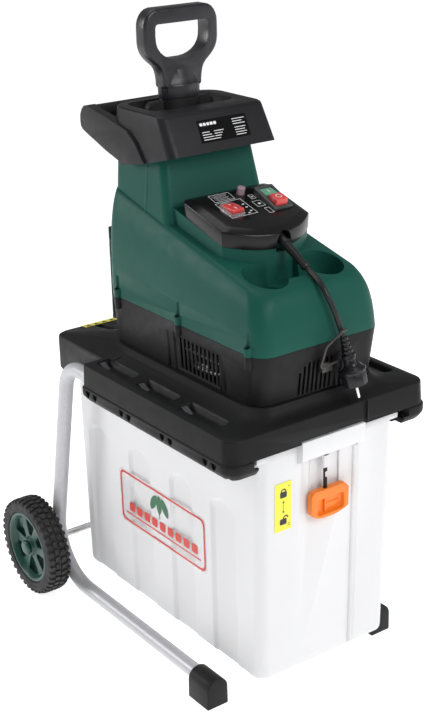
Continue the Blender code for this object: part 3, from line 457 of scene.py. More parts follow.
def galvanised():
    """Zinc-coated sheet with its crystal flowers."""
    m = Nodes("galvanised_sheet", (0.42, 0.45, 0.45), 0.38, 0.9)
    cells = m.add("ShaderNodeTexVoronoi", Scale=130)
    m.link(m.place, cells.inputs["Vector"])
    m.tint(m.spread(cells.outputs["Color"], 0, 1, 0.1, 0.9), (0.33, 0.36, 0.36), (0.55, 0.58, 0.58))
    m.rough(cells.outputs["Color"], 0.3, 0.5)
    m.bump(m.noise(400), 0.05, 0.0002)
    return m.material


def milky():
    """Blow-moulded natural polyethylene: white, slightly see-through, with a soft satin skin."""
    m = Nodes("milky_plastic", (0.75, 0.75, 0.76), 0.42)
    m.mottle(5, 3, (0.735, 0.735, 0.75), (0.775, 0.775, 0.79))
    m.rough(m.noise(35, 4), 0.38, 0.5)
    m.bump(m.noise(26), 0.05, 0.002)
    m.bump(m.noise(900), 0.06, 0.0003)
    m.set(Subsurface_Weight=0.25, Subsurface_Radius=(0.012, 0.012, 0.013), Subsurface_Scale=1)
    return m.material


def rubber():
    m = Nodes("tyre_rubber", (0.022, 0.022, 0.022), 0.72)
    m.mottle(30, 4, (0.018, 0.018, 0.018), (0.036, 0.035, 0.035))
    m.rough(m.noise(80, 3), 0.62, 0.85)
    m.bump(m.noise(700, 3), 0.25, 0.0004)
    return m.material


BLACK = grained("black_plastic", (0.011, 0.011, 0.0115), (0.015, 0.015, 0.0155), 0.46, sheen=0.15)
BLACK_DEEP = grained("deep_black_plastic", (0.008, 0.008, 0.0085), (0.012, 0.012, 0.0125), 0.48, sheen=0.2)
COLLAR_BLACK = grained(
    "collar_plastic", (0.013, 0.013, 0.0145), (0.018, 0.018, 0.02), 0.4, 1100, 0.3, sheen=0.18
)
HANDLE_BLACK = grained(
    "handle_plastic", (0.014, 0.014, 0.017), (0.019, 0.019, 0.023), 0.3, 1100, 0.15, sheen=0.42
)
GREEN = grained("green_plastic", (0.008, 0.076, 0.056), (0.0105, 0.088, 0.066), 0.4, 1500, 0.3, sheen=0.13)
GREEN_HUB = glossy("green_hub_plastic", (0.009, 0.058, 0.043), (0.012, 0.07, 0.052), 0.34)
# Lighter black for the rail pocket gussets: a painted highlight where their sloped end walls catch the light.
PAINTED_HIGHLIGHT_BLACK = glossy("black_plastic_painted_highlight", (0.07, 0.07, 0.074), (0.095, 0.095, 0.1), 0.26)
PANEL = grained(
    "gloss_black_plastic", (0.0055, 0.0055, 0.006), (0.008, 0.008, 0.0085), 0.24, 900, 0.02, 0.04, 0.3
)
SILVER = metallic("silver_powder_coat", (0.52, 0.52, 0.545), (0.56, 0.56, 0.585), 0.4, 0.25, None, 900)
ZINC = metallic("bright_zinc", (0.5, 0.5, 0.5), (0.62, 0.62, 0.62), 0.3)
STEEL = metallic("machined_steel", (0.42, 0.42, 0.43), (0.56, 0.56, 0.57), 0.3, 1, (1, 1, 12))
DARK_STEEL = metallic("blackened_steel", (0.05, 0.05, 0.05), (0.09, 0.09, 0.09), 0.42)
# Cast metal for the motor, darkened as painted shade so that it reads dark through the housing vents.
SHADED_CAST = metallic("cast_metal_painted_shade", (0.05, 0.05, 0.052), (0.08, 0.08, 0.083), 0.55, 0.6)
GALVANISED = galvanised()
MILKY = milky()
RUBBER = rubber()
ORANGE = glossy("orange_plastic", (0.88, 0.2, 0.006), (0.94, 0.24, 0.01), 0.36, 0.1)
RED = glossy("red_plastic", (0.68, 0.05, 0.05), (0.78, 0.07, 0.06), 0.3, 0.4)
GREEN_BUTTON = glossy("green_button_plastic", (0.13, 0.38, 0.24), (0.17, 0.44, 0.28), 0.3, 0.4)
CORD = grained("cord_sheath", (0.01, 0.01, 0.011), (0.016, 0.016, 0.017), 0.38, 500, 0.1, sheen=0.35)
PLUG = grained("plug_plastic", (0.008, 0.0075, 0.0095), (0.013, 0.012, 0.015), 0.28, 800, 0.15, sheen=0.35)
NICKEL = metallic("nickel_plate", (0.62, 0.61, 0.58), (0.74, 0.73, 0.7), 0.16)
WIRE = metallic("coated_wire", (0.045, 0.04, 0.04), (0.075, 0.07, 0.068), 0.4, 0.3)


def printed(name, color):
    m = Nodes(name, color, 0.35)
    m.mottle(60, 3, color, [c * 1.08 + 0.004 for c in color])
    m.rough(m.noise(240), 0.3, 0.43)
    m.bump(m.noise(500), 0.04, 0.0001)
    return m.material


YELLOW_FILM = printed("yellow_film", (0.86, 0.78, 0.06))
BLACK_INK = printed("black_ink", (0.01, 0.01, 0.011))
WHITE_INK = printed("white_ink", (0.8, 0.8, 0.81))
RATING_FILM = grained(
    "rating_film", (0.0025, 0.0025, 0.0028), (0.004, 0.004, 0.0045), 0.5, 900, 0.05, sheen=0.08
)
RED_INK = printed("red_ink", (0.62, 0.035, 0.02))
GREEN_INK = printed("green_ink", (0.015, 0.13, 0.05))


def clear(name, color, alpha):
    m = Nodes(name, color, 0.08)
    m.rough(m.noise(120), 0.05, 0.12)
    m.set(Alpha=alpha, Transmission_Weight=0.6, IOR=1.46)
    return m.material


CLEAR_FILM = clear("clear_film", (0.82, 0.82, 0.83), 0.16)
CLEAR = clear("clear_plastic", (0.85, 0.82, 0.84), 0.45)
CLEAR_PINK = clear("tinted_clear_plastic", (0.9, 0.68, 0.74), 0.8)
SMOKE = glossy("smoked_plastic", (0.045, 0.05, 0.05), (0.07, 0.075, 0.075), 0.16, 0.4)


# ---- camera, light and floor
camera_data = bpy.data.cameras.new("camera")
camera_data.lens = 70.47
camera_data.shift_x = -0.002
camera_data.shift_y = 0.0234
camera = add_object("camera", camera_data)
turn = Matrix.Rotation(radians(-35.77), 4, "Z")
tilt = Matrix.Rotation(radians(90 - 22.14), 4, "X")
roll = Matrix.Rotation(radians(-1.38), 4, "Z")
spot = Matrix.Translation(point(-1242.5, -1421.7, 1315.6))
camera.matrix_world = spot @ turn @ tilt @ roll
bpy.context.scene.camera = camera

floor = box("floor", -40000, 40000, -40000, 40000, -20, -0.4)
floor_look = Nodes("floor_paper", (0.82, 0.82, 0.82), 0.8)
floor_look.tint(floor_look.noise(3), (0.81, 0.81, 0.81), (0.84, 0.84, 0.84))
floor_look.set(Specular_IOR_Level=0, Emission_Color=(1, 1, 1, 1), Emission_Strength=0.8)
floor.data.materials.append(floor_look.material)


def area(name, spot, size, power):
    """A soft rectangular lamp that faces the middle of the machine."""
    data = bpy.data.lights.new(name, "AREA")
    data.shape = "RECTANGLE"
    data.size = size[0]
    data.size_y = size[1]
    data.energy = power
    obj = add_object(name, data)
    obj.location = spot
    obj.rotation_euler = (Vector((0, 0, 0.55)) - obj.location).to_track_quat("-Z", "Y").to_euler()


area("key", (0.4, -2.8, 2.4), (1.8, 1.6), 50)
area("side", (-2.4, 2.2, 1.7), (0.9, 1.6), 42)
area("top", (-0.2, 0.6, 3.4), (2.4, 2.4), 30)
area("fill", (2.6, -1.6, 1.2), (1.6, 2), 9)
world = bpy.data.worlds.new("studio")
world.use_nodes = True
backdrop = world.node_tree.nodes["Background"].inputs
backdrop["Color"].default_value = (1, 1, 1, 1)
backdrop["Strength"].default_value = 0.24
bpy.context.scene.world = world
bpy.context.scene.view_settings.view_transform = "Standard"


# ---- mains cord and its plug
CORD_RADIUS = 4.2
CORD_KNOTS = [
    (10.1, 78.2, 685), (10.4, 70, 681.2), (9.4, 59, 677.6), (7.8, 48, 673.2), (7.2, 38.5, 665.8),
    (9.4, 31, 655), (13.4, 25.5, 641.5), (18.2, 21.5, 626), (23.2, 18.8, 608.5), (27.8, 16, 592.6),
]
cord_points = [point(*knot) for knot in spline(CORD_KNOTS, 2)]
cord_curve = bpy.data.curves.new("cord_sheath_curve", "CURVE")
cord_curve.dimensions = "3D"
cord_curve.bevel_depth = CORD_RADIUS * MM
cord_curve.bevel_resolution = 6
cord_curve.use_fill_caps = True
track = cord_curve.splines.new("POLY")
track.points.add(len(cord_points) - 1)
for node, spot in zip(track.points, cord_points):
    node.co = (*spot, 1)
track.use_smooth = True
cord = add_object("mains_cord", cord_curve)
cord_curve.materials.append(CORD)
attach(cord, "frame")
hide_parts("power_cord")

PLUG_START = Vector((28, 15.8, 592))
PLUG_AXIS = Vector((15.8, -17.5, -91)).normalized()
PLUG_SIDE = PLUG_AXIS.cross(Vector((0, 1, 0))).normalized()
PLUG_OUT = PLUG_AXIS.cross(PLUG_SIDE).normalized()


def on_plug(along, p, q):
    return tuple(PLUG_START + PLUG_AXIS * along + PLUG_SIDE * p + PLUG_OUT * q)


FLUTED_FROM = 57
FLUTE_DEPTH = 0.035


def plug_ring(along, radius, count=50):
    """One round of the plug; past its collar the grip has ten shallow flutes."""
    ring = []
    for i in range(count):
        t = 2 * pi * i / count
        r = radius * (1 - FLUTE_DEPTH * (0.5 + 0.5 * cos(10 * t)) * (along > FLUTED_FROM))
        ring.append(on_plug(along, r * cos(t), r * sin(t)))
    return ring


grommet = [(0, 4.7), (0.8, 5.6)]
for k in range(4):
    start = 1.2 + 6.6 * k
    ring = 5.8 + 0.75 * k
    grommet += [(start, ring), (start + 4, ring + 0.3), (start + 4.5, ring - 1.1), (start + 6.2, ring - 1)]
grommet += [
    (28, 9.4), (29, 10.4), (33, 10.8), (34.4, 9.8), (37, 9.6), (42, 10.2), (46, 11.6), (48.4, 14.4),
    (50.2, 18.4), (51.2, 20.2), (52.4, 20.9), (54.2, 20.9), (55.2, 20.4), (55.9, 19.3), (57.4, 19.2),
    (58.4, 19.8), (74, 19.4), (75.8, 18.8), (76.4, 17.8),
]
plug = loft("plug_shell", [plug_ring(*row) for row in grommet])
wings = []
for turn_by in (0.6, 2.2, 3.74, 5.3):
    c, s = cos(turn_by), sin(turn_by)
    rings = []
    for along, radius, wide in ((34, 7.5, 1.6), (38, 11.4, 2), (45, 13.4, 2.4), (51, 18.6, 3)):
        ring = []
        for p, q in ((radius, -wide), (radius, wide), (4, wide), (4, -wide)):
            ring.append(on_plug(along, p * c - q * s, p * s + q * c))
        rings.append(ring)
    wings.append(loft("wing", rings))
soften(plug, 0.3, 1, 50)
lump(plug, *wings)
finished(plug, "plug_body", PLUG)
for number, side in ((1, -9.5), (2, 9.5)):
    rings = []
    for a, r in ((76.7, 2.4), (93, 2.4), (94.6, 2), (95.4, 1.2), (95.6, 0.5)):
        rings.append([on_plug(a, side * 0.6 + p, q - side * 0.8) for p, q in circle(0, 0, r, r, 20)])
    finished(loft("pin", rings), f"plug_pin_{number}", NICKEL)

gland_path = [
    (7.4, 146, 722.6), (8, 128, 714), (8.1, 126.2, 713), (8.1, 125.8, 712.7), (8.2, 123.4, 711.3),
    (8.2, 123, 711.1), (8.8, 112, 704.6), (9.4, 96, 695.3), (9.8, 84.5, 688.6), (9.85, 83.9, 688.3),
    (9.95, 80.6, 686.4), (10, 79.9, 686), (10.05, 78.6, 685.2),
]
gland_radii = [7.9, 7.5, 7.5, 9.2, 9.2, 7.4, 6.8, 6.2, 5.9, 6.9, 6.9, 5.9, 5.2]
gland = swept("gland", gland_path, gland_radii, 28)
finished(gland, "strain_relief", CORD, 50)

hook_knots = [
    (29, 23, 552.5), (10, 23, 550.5), (-4.5, 22.6, 549.4), (-8.2, 22.4, 550.5), (-8, 22, 556),
    (-4.6, 21, 567), (-1.6, 19, 580.5), (2.5, 16.5, 586), (9.5, 13, 594), (17, 9.4, 601.5),
    (20.5, 8.8, 603.8), (29, 10, 604.6),
]
hook = swept("hook", spline(hook_knots, 3), 2.1, 12, side=(0.3, 1, 0.1))
hook_plate = soften(prism("plate", [(-6, 540), (14, 540), (14, 551), (-6, 556)], "Y", 22.4, 31.6), 1)
finished(lump(hook, hook_plate), "cord_hook", WIRE)


# ---- tyres, hubs, axle
TREAD_PITCH = 40
tyre_wall = [
    (-18, 65.4), (-20.4, 66.6), (-21.5, 69), (-21.5, 71), (-20.9, 71.8), (-20.9, 73.6), (-21.4, 74.6),
    (-21, 79), (-19.6, 82.2), (-16.8, 84.4), (-11, 85.2), (-1, 85.4),
]
tyre_profile = [(WHEEL_MID + a, r) for a, r in tyre_wall]
tyre_profile += [(WHEEL_MID - a, r) for a, r in reversed(tyre_wall)]
tyre = turned("tyre", tyre_profile, AXLE_Y, AXLE_Z, "X", 120, closed=True)
lug_verts = []
lug_faces = []
LUG_ROWS = ((-20.6, -12, 0), (-10.6, -1, 0.5), (1, 10.6, 0), (12, 20.6, 0.5))
for low, high, phase in LUG_ROWS:
    shoulder = low < -15 or high > 15
    for k in range(TREAD_PITCH):
        start = (k + phase * 0.5) / TREAD_PITCH
        width = (0.58 if shoulder else 0.66) / TREAD_PITCH
        a = len(lug_verts)
        for depth, slack in ((82, 0), (88.9, 0.04 / TREAD_PITCH)):
            for share in (slack, width - slack):
                t = 2 * pi * (start + share)
                for edge in (low, high):
                    outer = abs(edge) > 15
                    radius = depth - (2.4 if outer else 0)
                    inset = 0.5 if depth > 85 and not outer else 0
                    along = WHEEL_MID + edge + (inset if edge == low else -inset)
                    lug_verts.append((along, AXLE_Y + radius * cos(t), AXLE_Z + radius * sin(t)))
        lug_faces += [
            (a + 4, a + 5, a + 7, a + 6), (a, a + 1, a + 5, a + 4), (a + 2, a + 6, a + 7, a + 3),
            (a, a + 4, a + 6, a + 2), (a + 1, a + 3, a + 7, a + 5), (a, a + 2, a + 3, a + 1),
        ]
lugs = make("lugs", lug_verts, lug_faces)
lugs = soften(lugs, 0.45, 1, 40)
lump(tyre, lugs)
finish_pair(tyre, "wheel_tyre", RUBBER)

hub_wall = [
    (-41.5, 13), (-41.5, 6.3), (-4, 6.3), (-4, 12), (-4.6, 15), (-10, 18), (-11, 22), (-12.5, 50),
    (-11.5, 54), (-7, 57.4), (-3, 59), (-2.2, 60.2), (-2, 63.4), (-2.8, 65), (-39, 65), (-39, 61.5),
    (-17, 57), (-16, 22), (-37, 16),
]
hub_profile = [(WHEEL_OUT + a, r) for a, r in hub_wall]
hub = turned("hub", hub_profile, AXLE_Y, AXLE_Z, "X", 96, closed=True)


def hub_hole(k, out):
    """The opening between two spokes, grown by this much all round."""
    turn_to = radians(30 + 60 * k)
    c, s = cos(turn_to), sin(turn_to)
    outline = [(21.5, 4.2), (27.5, 7.4), (40, 13), (50.5, 17), (53, 14), (54.4, 0)]
    outline += [(p, -q) for p, q in reversed(outline) if q]
    grown = []
    for p, q in outline:
        away = Vector((p - 38, q))
        away = away + away.normalized() * out
        grown.append((AXLE_Y + (38 + away.x) * c - away.y * s, AXLE_Z + (38 + away.x) * s + away.y * c))
    return grown


holes = [prism("hole", hub_hole(k, 0), "X", WHEEL_OUT - 30, WHEEL_OUT + 5) for k in range(6)]
cut(hub, *holes)
skirts = []
for k in range(6):
    outer = hub_hole(k, 1.6)
    inner = hub_hole(k, 0)
    back = WHEEL_OUT - 24
    front = WHEEL_OUT - 13
    rings = [
        [(back, y, z) for y, z in outer], [(front, y, z) for y, z in outer],
        [(front, y, z) for y, z in inner], [(back, y, z) for y, z in inner],
    ]
    skirts.append(loft("skirt", rings, closed=True))
soften(hub, 0.9, 2, 40)
lump(hub, *skirts)
finish_pair(hub, "wheel_hub", GREEN_HUB)

cap_wall = [(-2.6, 7), (-2.6, 13.4), (-1, 13.6), (1, 13), (2.6, 11.4), (3.4, 8.8)]
cap_profile = [(WHEEL_OUT + a, r) for a, r in cap_wall]
cap = turned("cap", cap_profile, AXLE_Y, AXLE_Z, "X", 40)
cut(cap, cylinder("bore", "X", AXLE_Y, AXLE_Z, 7, WHEEL_OUT - 5, WHEEL_OUT + 0.2, 32))
finish_pair(cap, "hub_cap", GREEN_HUB)
axle = soften(cylinder("axle_rod", "X", AXLE_Y, AXLE_Z, 6, -232.6, 232.6, 40), 0.6)
finished(axle, "axle", ZINC)


# ---- tubular legs and feet
top_y = 497 - (ARM_Z - 385) * 0.2117
low_y = 497 + (385 - RUNNER_Z) * 0.2117
top_fit = 50 * tan(radians(39))
low_fit = 90 * tan(radians(51))
leg_path = [(344, ARM_Z), (380, ARM_Z)]
leg_path += arc(top_y - top_fit, ARM_Z - 50, 50, 90, 12, 12)
leg_path += arc(low_y - low_fit, RUNNER_Z + 90, 90, 12, -90, 16)
leg_path += [(300, RUNNER_Z), (97.6, RUNNER_Z)]
leg = swept("leg", [(TUBE_X, y, z) for y, z in leg_path], TUBE_RADIUS, 32)
lug_outline = [(543, 99.5), (543, 77.5)] + arc(AXLE_Y, AXLE_Z, 12.5, -78, 78, 16)
lug = prism("lug", lug_outline, "X", TUBE_X - 3, TUBE_X + 3)
lug = soften(cut(lug, cylinder("hole", "X", AXLE_Y, AXLE_Z, 6.3, 100, 240, 32)), 0.5)
beads = []
for x in (TUBE_X + 3.4, TUBE_X - 3.4):
    beads.append(swept("bead", [(x, 556.5, 100), (x, 553, 88), (x, 548.5, 77)], 1.5, 8))
lump(leg, lug, *beads)
finish_pair(leg, "leg_tube", SILVER)

foot_outline = [(TUBE_X - 20, 0), (TUBE_X + 20, 0)] + arc(TUBE_X, 32, 19.6, 0, 180, 16, 19.4)
foot = prism("foot", foot_outline, "Y", 73.5, 126.5)
cut(foot, cylinder("bore", "Y", TUBE_X, RUNNER_Z, TUBE_RADIUS + 0.3, 97, 140, 40))
soften(foot, 1.8, 3, 50)
finish_pair(foot, "foot_cap", BLACK_DEEP)


# ---- moulded base
RAIL_X = 162
POCKETS = ((57, 157), (179, 273), (293, 386))


def pocket(side, ends, *rows):
    """A rail pocket's room: for each row its height, half width, two end gaps and corner radius."""
    rings = []
    for z, half, head, tail, radius in rows:
        x0, x1 = side * RAIL_X - half, side * RAIL_X + half
        rings.append(level(rounded(x0, x1, ends[0] + head, ends[1] - tail, radius, radius, 6), z))
    return loft("pocket", rings)


base = stack(
    "base",
    [
        (423, 186, 8.5, 397, 17, 6), (427, 189.5, 5, 399.6, 20, 6), (432, 193.2, 1.3, 401.6, 24, 6),
        (434, 194.2, 0.4, 402.4, 24, 6), (437, BASE_HALF, 0, 403, 24, 6), (446, BASE_HALF, 0, 403, 24, 6),
        (447.2, 194, 0.5, 403, 24, 6), (448.2, 192.2, 2.3, 402, 24, 6), (483, 190.8, 3.7, 401, 24, 6),
        (484.6, 190, 4.6, 400.2, 24, 6), (485.6, 187.6, 7, 399, 26, 6), (486.6, 180, 13, 397.4, 27, 6),
        (487.6, 171.5, 17, 396, 29, 6), (488.6, 160, 20, 394, 32, 6), (490, 147, 22.6, 392, 35, 6),
        (492.6, 136, 26, 391, 37, 6), (497, 127.5, 29.6, 390, 39, 6), (BASE_TOP, 121, 33.4, 388, 41, 6),
    ],
    10,
)
rear = stack(
    "rear",
    [
        (427, 155, 370, 543, 6, 14), (431, 157, 370, 545, 6, 15), (484, 157, 370, 545, 6, 15),
        (488, 156, 370, 544, 6, 15), (491, 151, 370, 540.5, 6, 15), (497.5, 128, 370, 492, 6, 20),
        (BASE_TOP, 119, 370, 450, 6, 24),
    ],
)
join(base, rear)
tools = [
    box("front_gap", -142.5, 142.5, -10, 22, 400, 448),
    box("latch_step", -61.5, 61.5, -10, 22, 440, 453),
    box("skirt_notch", -151, 151, -10, 22, 436, 448),
    box("box_way", -135, 135, 21, 532, 400, 432),
    box("flange_way", -147, 147, 5, 532, 431.6, 448),
    box("chamber", -128, 128, 5, 526, 447, 478),
    box("chamber_top", -108, 108, 46, 430, 477, 499),
    prism("outlet", circle(0, 198, 86, 86, 64), "Z", 490, 520),
]
for side in (-1, 1):
    low, high = sorted((side * 152, side * 187))
    tools.append(box("rail_hollow", low, high, 14, 322, 400, 474))
    tools.append(cylinder("socket", "Y", side * TUBE_X, ARM_Z, TUBE_RADIUS + 0.3, 338, 420, 40))
    for ends in POCKETS:
        tools.append(pocket(side, ends, (478.5, 9, 8, 4, 5), (490.5, 14, 0, 0, 7)))
    slot = rounded(side * 86 - 6, side * 86 + 6, 463, 520, 3, 3, 4)
    tools.append(prism("rear_slot", slot, "Z", 488, 510))
    for y in (382, 361, 283, 262, 170, 149, 60, 39):
        wedge = [(y - 8, 444), (y - 6, 440), (y + 1, 430.5), (y + 5, 437), (y + 7, 444)]
        a, b = sorted((side * 190.6, side * 200))
        tools.append(prism("trim_notch", wedge, "X", a, b))
tools.append(box("groove", 64.6, 65.6, -3, 1.2, 452, 486))
cut(base, *tools)
soften(base, 0.9, 2, 32)
gussets = []
pocket_shades = []
for side in (-1, 1):
    for ends in POCKETS:
        end = ends[1]
        outline = [(end - 2.6, 479), (end - 2.6, 486.4), (end - 6, 486), (end - 20, 479)]
        gussets.append(prism("gusset", outline, "X", side * RAIL_X - 7, side * RAIL_X + 3))
        # A thin deep-black sheet inside each pocket: painted shade on the pocket's walls and floor.
        pocket_shade = pocket(side, ends, (478.6, 9, 8, 4, 5), (485.6, 11.9, 3.3, 1.7, 6.2))
        room = pocket(side, ends, (479, 8.5, 8.5, 4.5, 4.6), (487, 11.7, 3.5, 1.9, 6))
        pocket_shades.append(cut(pocket_shade, room))
rib = box("rib", 63.8, 66.2, -0.9, 2, 452.2, 485)
lump(base, soften(rib, 0.5, 2))
finished(base, "base_chassis", BLACK, 30)
# These pocket sheets are painted shade, darker than the base around them.
ink(pocket_shades, "base_chassis", BLACK_DEEP, "base_pocket_painted_shade")
# The gussets' lighter colour is a painted highlight on the pockets' end walls.
ink(gussets, "base_chassis", PAINTED_HIGHLIGHT_BLACK, "base_pocket_gussets")


# ---- housing
lower = stack("lower", [(505.4, 114, 38.5, 426, 29, 26), (588, 118.2, 27.6, 432.2, 29, 26)], 12)
extra = []
for side in (-1, 1):
    for y in SCREW_Y[side]:
        extra.append(cylinder("boss", "Z", side * BOSS_X, y, 6.5, 566, 590, 24))
    for y in (262, 124):
        extra.append(cylinder("rib", "Z", side * 113.5, y, 4.5, 508, 566, 20))
for x in (31, 41):
    extra.append(cylinder("rib", "Z", x, 35.5, 3, 508, 560, 16))
join(lower, *extra)
tools = [
    stack("inside", [(500, 110, 42.5, 422, 25, 22), (595, 114, 32, 428, 25, 22)], 12),
    box("split", -200, 200, -20, 500, 584.4, 620),
]
for side in (-1, 1):
    a, b = sorted((side * 104, side * 124))
    for k in range(10):
        y = 134 + 10.6 * k
        slot = rounded(y - 2.8, y + 2.8, 511, 563, 2.4, 2.4, 3)
        tools.append(prism("vent", slot, "X", a, b))
    for y in SCREW_Y[side]:
        tools.append(cylinder("screw_hole", "Z", side * SCREW_X, y, 2.4, 570, 600, 12))
for side in (-1, 1):
    bay = [(244, 506.5), (244, 566), (132, 566), (122, 560), (114, 545), (107, 506.5)]
    bay_rings = []
    for depth, grow in ((-2.4, 0), (0, 1.6), (2, 3)):
        corners = [(y + grow * (1 if y > 180 else -1), z + (grow if z > 540 else 0)) for y, z in bay]
        bay_rings.append([(side * (114 + 0.0509 * (z - 505.4) + depth), y, z) for y, z in corners])
    tools.append(loft("bay", bay_rings[::side]))
for k in range(8):
    x = -39 + 8.3 * k
    high = (546, 555, 560)[min(k, 2)]
    tools.append(prism("front_vent", rounded(x - 2.2, x + 2.2, 508, high, 2, 2, 3), "Y", 24, 48))
cut(lower, *tools)
soften(lower, 0.6, 2, 40)
finished(lower, "lower_housing", BLACK_DEEP, 35)


def cover_ring(t, half, front, inset=0, drop=0, back=None):
    """A ring of the green cover, from 0 at the split to 1 on the sloping ridge."""
    end = 432 + 6 * t if back is None else back
    outline = rounded(-half + inset, half - inset, front + inset, end - inset, 29 - inset, 26 - inset, 12)
    return [(x, y, SPLIT_Z + t * (670 + 0.235 * (y - 50) - drop - SPLIT_Z)) for x, y in outline]


COVER = [
    (-0.08, 118.4, 27.2), (0.3, 116.6, 31), (0.55, 114, 35), (0.72, 110.4, 39.2), (0.84, 106, 44),
    (0.93, 101, 49.5), (0.98, 96.6, 55), (1, 91.5, 62),
]
CUP_X = 53
CUP_ROWS = ((98, 24, 27, 642), (98, 28, 31, 645), (97.4, 31, 34.4, 660), (97, 33, 37, 672), (97, 33, 37, 720))
upper = loft("upper", [cover_ring(*ring) for ring in spline(COVER, 3)])
tools = []
for side in (-1, 1):
    layers = [level(circle(side * CUP_X, y, rx, ry, 48), z) for y, rx, ry, z in CUP_ROWS]
    tools.append(loft("cup", layers))
trough = [(655, 30, 84, 150, 4, 4), (668, 30, 77, 150, 4, 4), (720, 30, 76, 150, 4, 4)]
tools.append(stack("trough", trough, 3))
cut(upper, *tools)


def bow(half, inset, back):
    """The control box seen from above: a bowed front and two round corners at the back."""
    points = []
    for i in range(25):
        x = half * (2 * i / 24 - 1)
        points.append((x, 127 + 34 * (x / 82) ** 2 + inset))
    for cx, start in ((half - 12, 0), (12 - half, 90)):
        points += arc(cx, back - 12, 12, start, start + 90, 6)
    return points


def slope(outline, lift):
    return [(x, y, PANEL_Z + PANEL_RISE * (y - PANEL_Y) + lift) for x, y in outline]


tower_rows = [(660, 98.6, 262, 436, 14, 26), (725, 96.5, 280, 440, 14, 26), (829, 87, 304, 443, 14, 26)]
tower = stack("tower", tower_rows)
pedestal_outline = bow(81, 2.5, 300)
pedestal = loft("pedestal", [level(pedestal_outline, 640), slope(pedestal_outline, -28.3)])
bosses = []
for side in (-1, 1):
    for y in SCREW_Y[side]:
        ring = circle(side * BOSS_X, y, 6.5, 6.5, 24)
        slanted = [(x, q, 603 - 0.5 * (x * side - 111)) for x, q in ring]
        bosses.append(loft("boss", [level(ring, 581), slanted]))
join(upper, tower, pedestal, *bosses)
hollow_rows = ((-0.15, 118, 28, 4, 4, 270), (0.5, 114.5, 34, 4, 5, 270), (0.51, 60, 80, 4, 0, 270))
motor_hollow = loft("motor_hollow", [cover_ring(*row) for row in hollow_rows])
box_hollow = stack("box_hollow", [(610, 70, 142, 256, 20, 8), (790, 70, 172, 256, 30, 8)], 3)
chute_low = [(565, 92, 276, 424, 8, 18), (690, 90, 277, 428, 8, 18)]
chute_high = [(745, 88, 288, 434, 10, 20), (850, 82.6, 308.6, 438.6, 10, 22)]
chute = stack("chute", chute_low + chute_high, 6)
tools = [motor_hollow, box_hollow, chute, box("split", -200, 200, -20, 500, 560, SPLIT_Z)]
for side in (-1, 1):
    for y in SCREW_Y[side]:
        tools.append(cylinder("screw_way", "Z", side * SCREW_X, y, 2.9, 580, 596, 16))
        tools.append(cylinder("screw_head_way", "Z", side * SCREW_X, y, 4.6, 593.5, 620, 20))
notch = [(-6, 700), (22, 700), (22, 722), (17, 733), (-1, 733), (-6, 722)]
tools.append(prism("gland_notch", notch, "Y", 100, 152))
cut(upper, *tools)
soften(upper, 1.3, 3, 33)
stripes = []
for side in (-1, 1):
    foot_x, head_x = side * 95.6, side * 86.8
    outline = [(338, 716), (346, 716), (346, 812), (338, 812)]
    rings = []
    for out in (-2, 2.2):
        rings.append([(foot_x + (head_x - foot_x) * (z - 716) / 96 + side * out, y, z) for y, z in outline])
    stripes.append(soften(loft("stripe", rings[::side]), 0.9, 2))
lump(upper, *stripes)
finished(upper, "upper_housing", GREEN, 32)

for side, word in ((-1, "left"), (1, "right")):
    for number, y in enumerate(SCREW_Y[side], 1):
        profile = [(572, 1.9), (594.2, 1.9), (594.2, 4.1), (596.6, 4.1), (597.2, 3.5)]
        screw = turned("screw", profile, side * SCREW_X, y, "Z", 20)
        x = side * SCREW_X
        cross = [box("slot", x - a, x + a, y - b, y + b, 595.4, 599) for a, b in ((2.6, 0.6), (0.6, 2.6))]
        finished(cut(screw, *cross), f"housing_screw_{word}_{number}", DARK_STEEL)


# ---- hopper collar and carry bar
collar_rows = [
    (800, 103, 239, 438, 16, 30), (884, 98.6, 286, 430, 14, 34), (887, 98, 288, 429.4, 14, 34),
    (889, 96, 291.4, 427.6, 14, 34),
]
collar = stack("collar", collar_rows)
arm_outline = [
    (322, 812), (380, 801), (431, 815), (498, 839), (503.6, 844), (505, 852), (504, 863), (499, 872),
    (492, 878), (484, 880), (462, 875), (425, 869), (372, 858), (348, 842), (332, 822),
]
arms = []
for side in (-1, 1):
    a, b = sorted((side * 90, side * 106.5))
    arms.append(prism("arm", arm_outline, "X", a, b))
join(collar, *arms, prism("bar", circle(484, 863, 16, 15.5, 40), "X", -105, 105))
skirt = [(180, 700), (180, 833), (257, 832), (320, 815), (380, 803), (431, 817), (445, 821), (445, 700)]
under = stack("under", [(780, 98, 233, 431, 12, 26), (868, 94.5, 284, 425, 12, 26)])
mouth_rows = (
    (860, -72, 66, 340, 408, 16, 16), (870, -72, 66, 340, 408, 16, 16),
    (873, -73, 67.5, 338.5, 409.5, 16, 16), (892, -82, 78, 328, 415, 18, 18),
)
mouth = loft("mouth", [level(rounded(*row), z) for z, *row in mouth_rows])
back = box("back", -88.6, 88.6, 380, 447, 770, 830)
cut(collar, prism("skirt_cut", skirt, "X", -89.7, 89.7), under, back, mouth)
skirt_low = [(180, 780), (180, 833), (257, 832), (320, 815), (320, 780)]
skirt_side = [(310, 780), (310, 817), (320, 814.9), (380, 802), (431, 816), (470, 829.3), (470, 780)]
cut(collar, *[prism("trim", outline, "X", -130, 130) for outline in (skirt_low, skirt_side)])
soften(collar, 1.4, 3, 28)
finished(collar, "hopper_collar", COLLAR_BLACK, 30)

plate = soften(box("plate", -101, 101, 444.4, 446.4, 531, 688), 0.5, 2)
finished(plate, "rear_plate", GALVANISED)


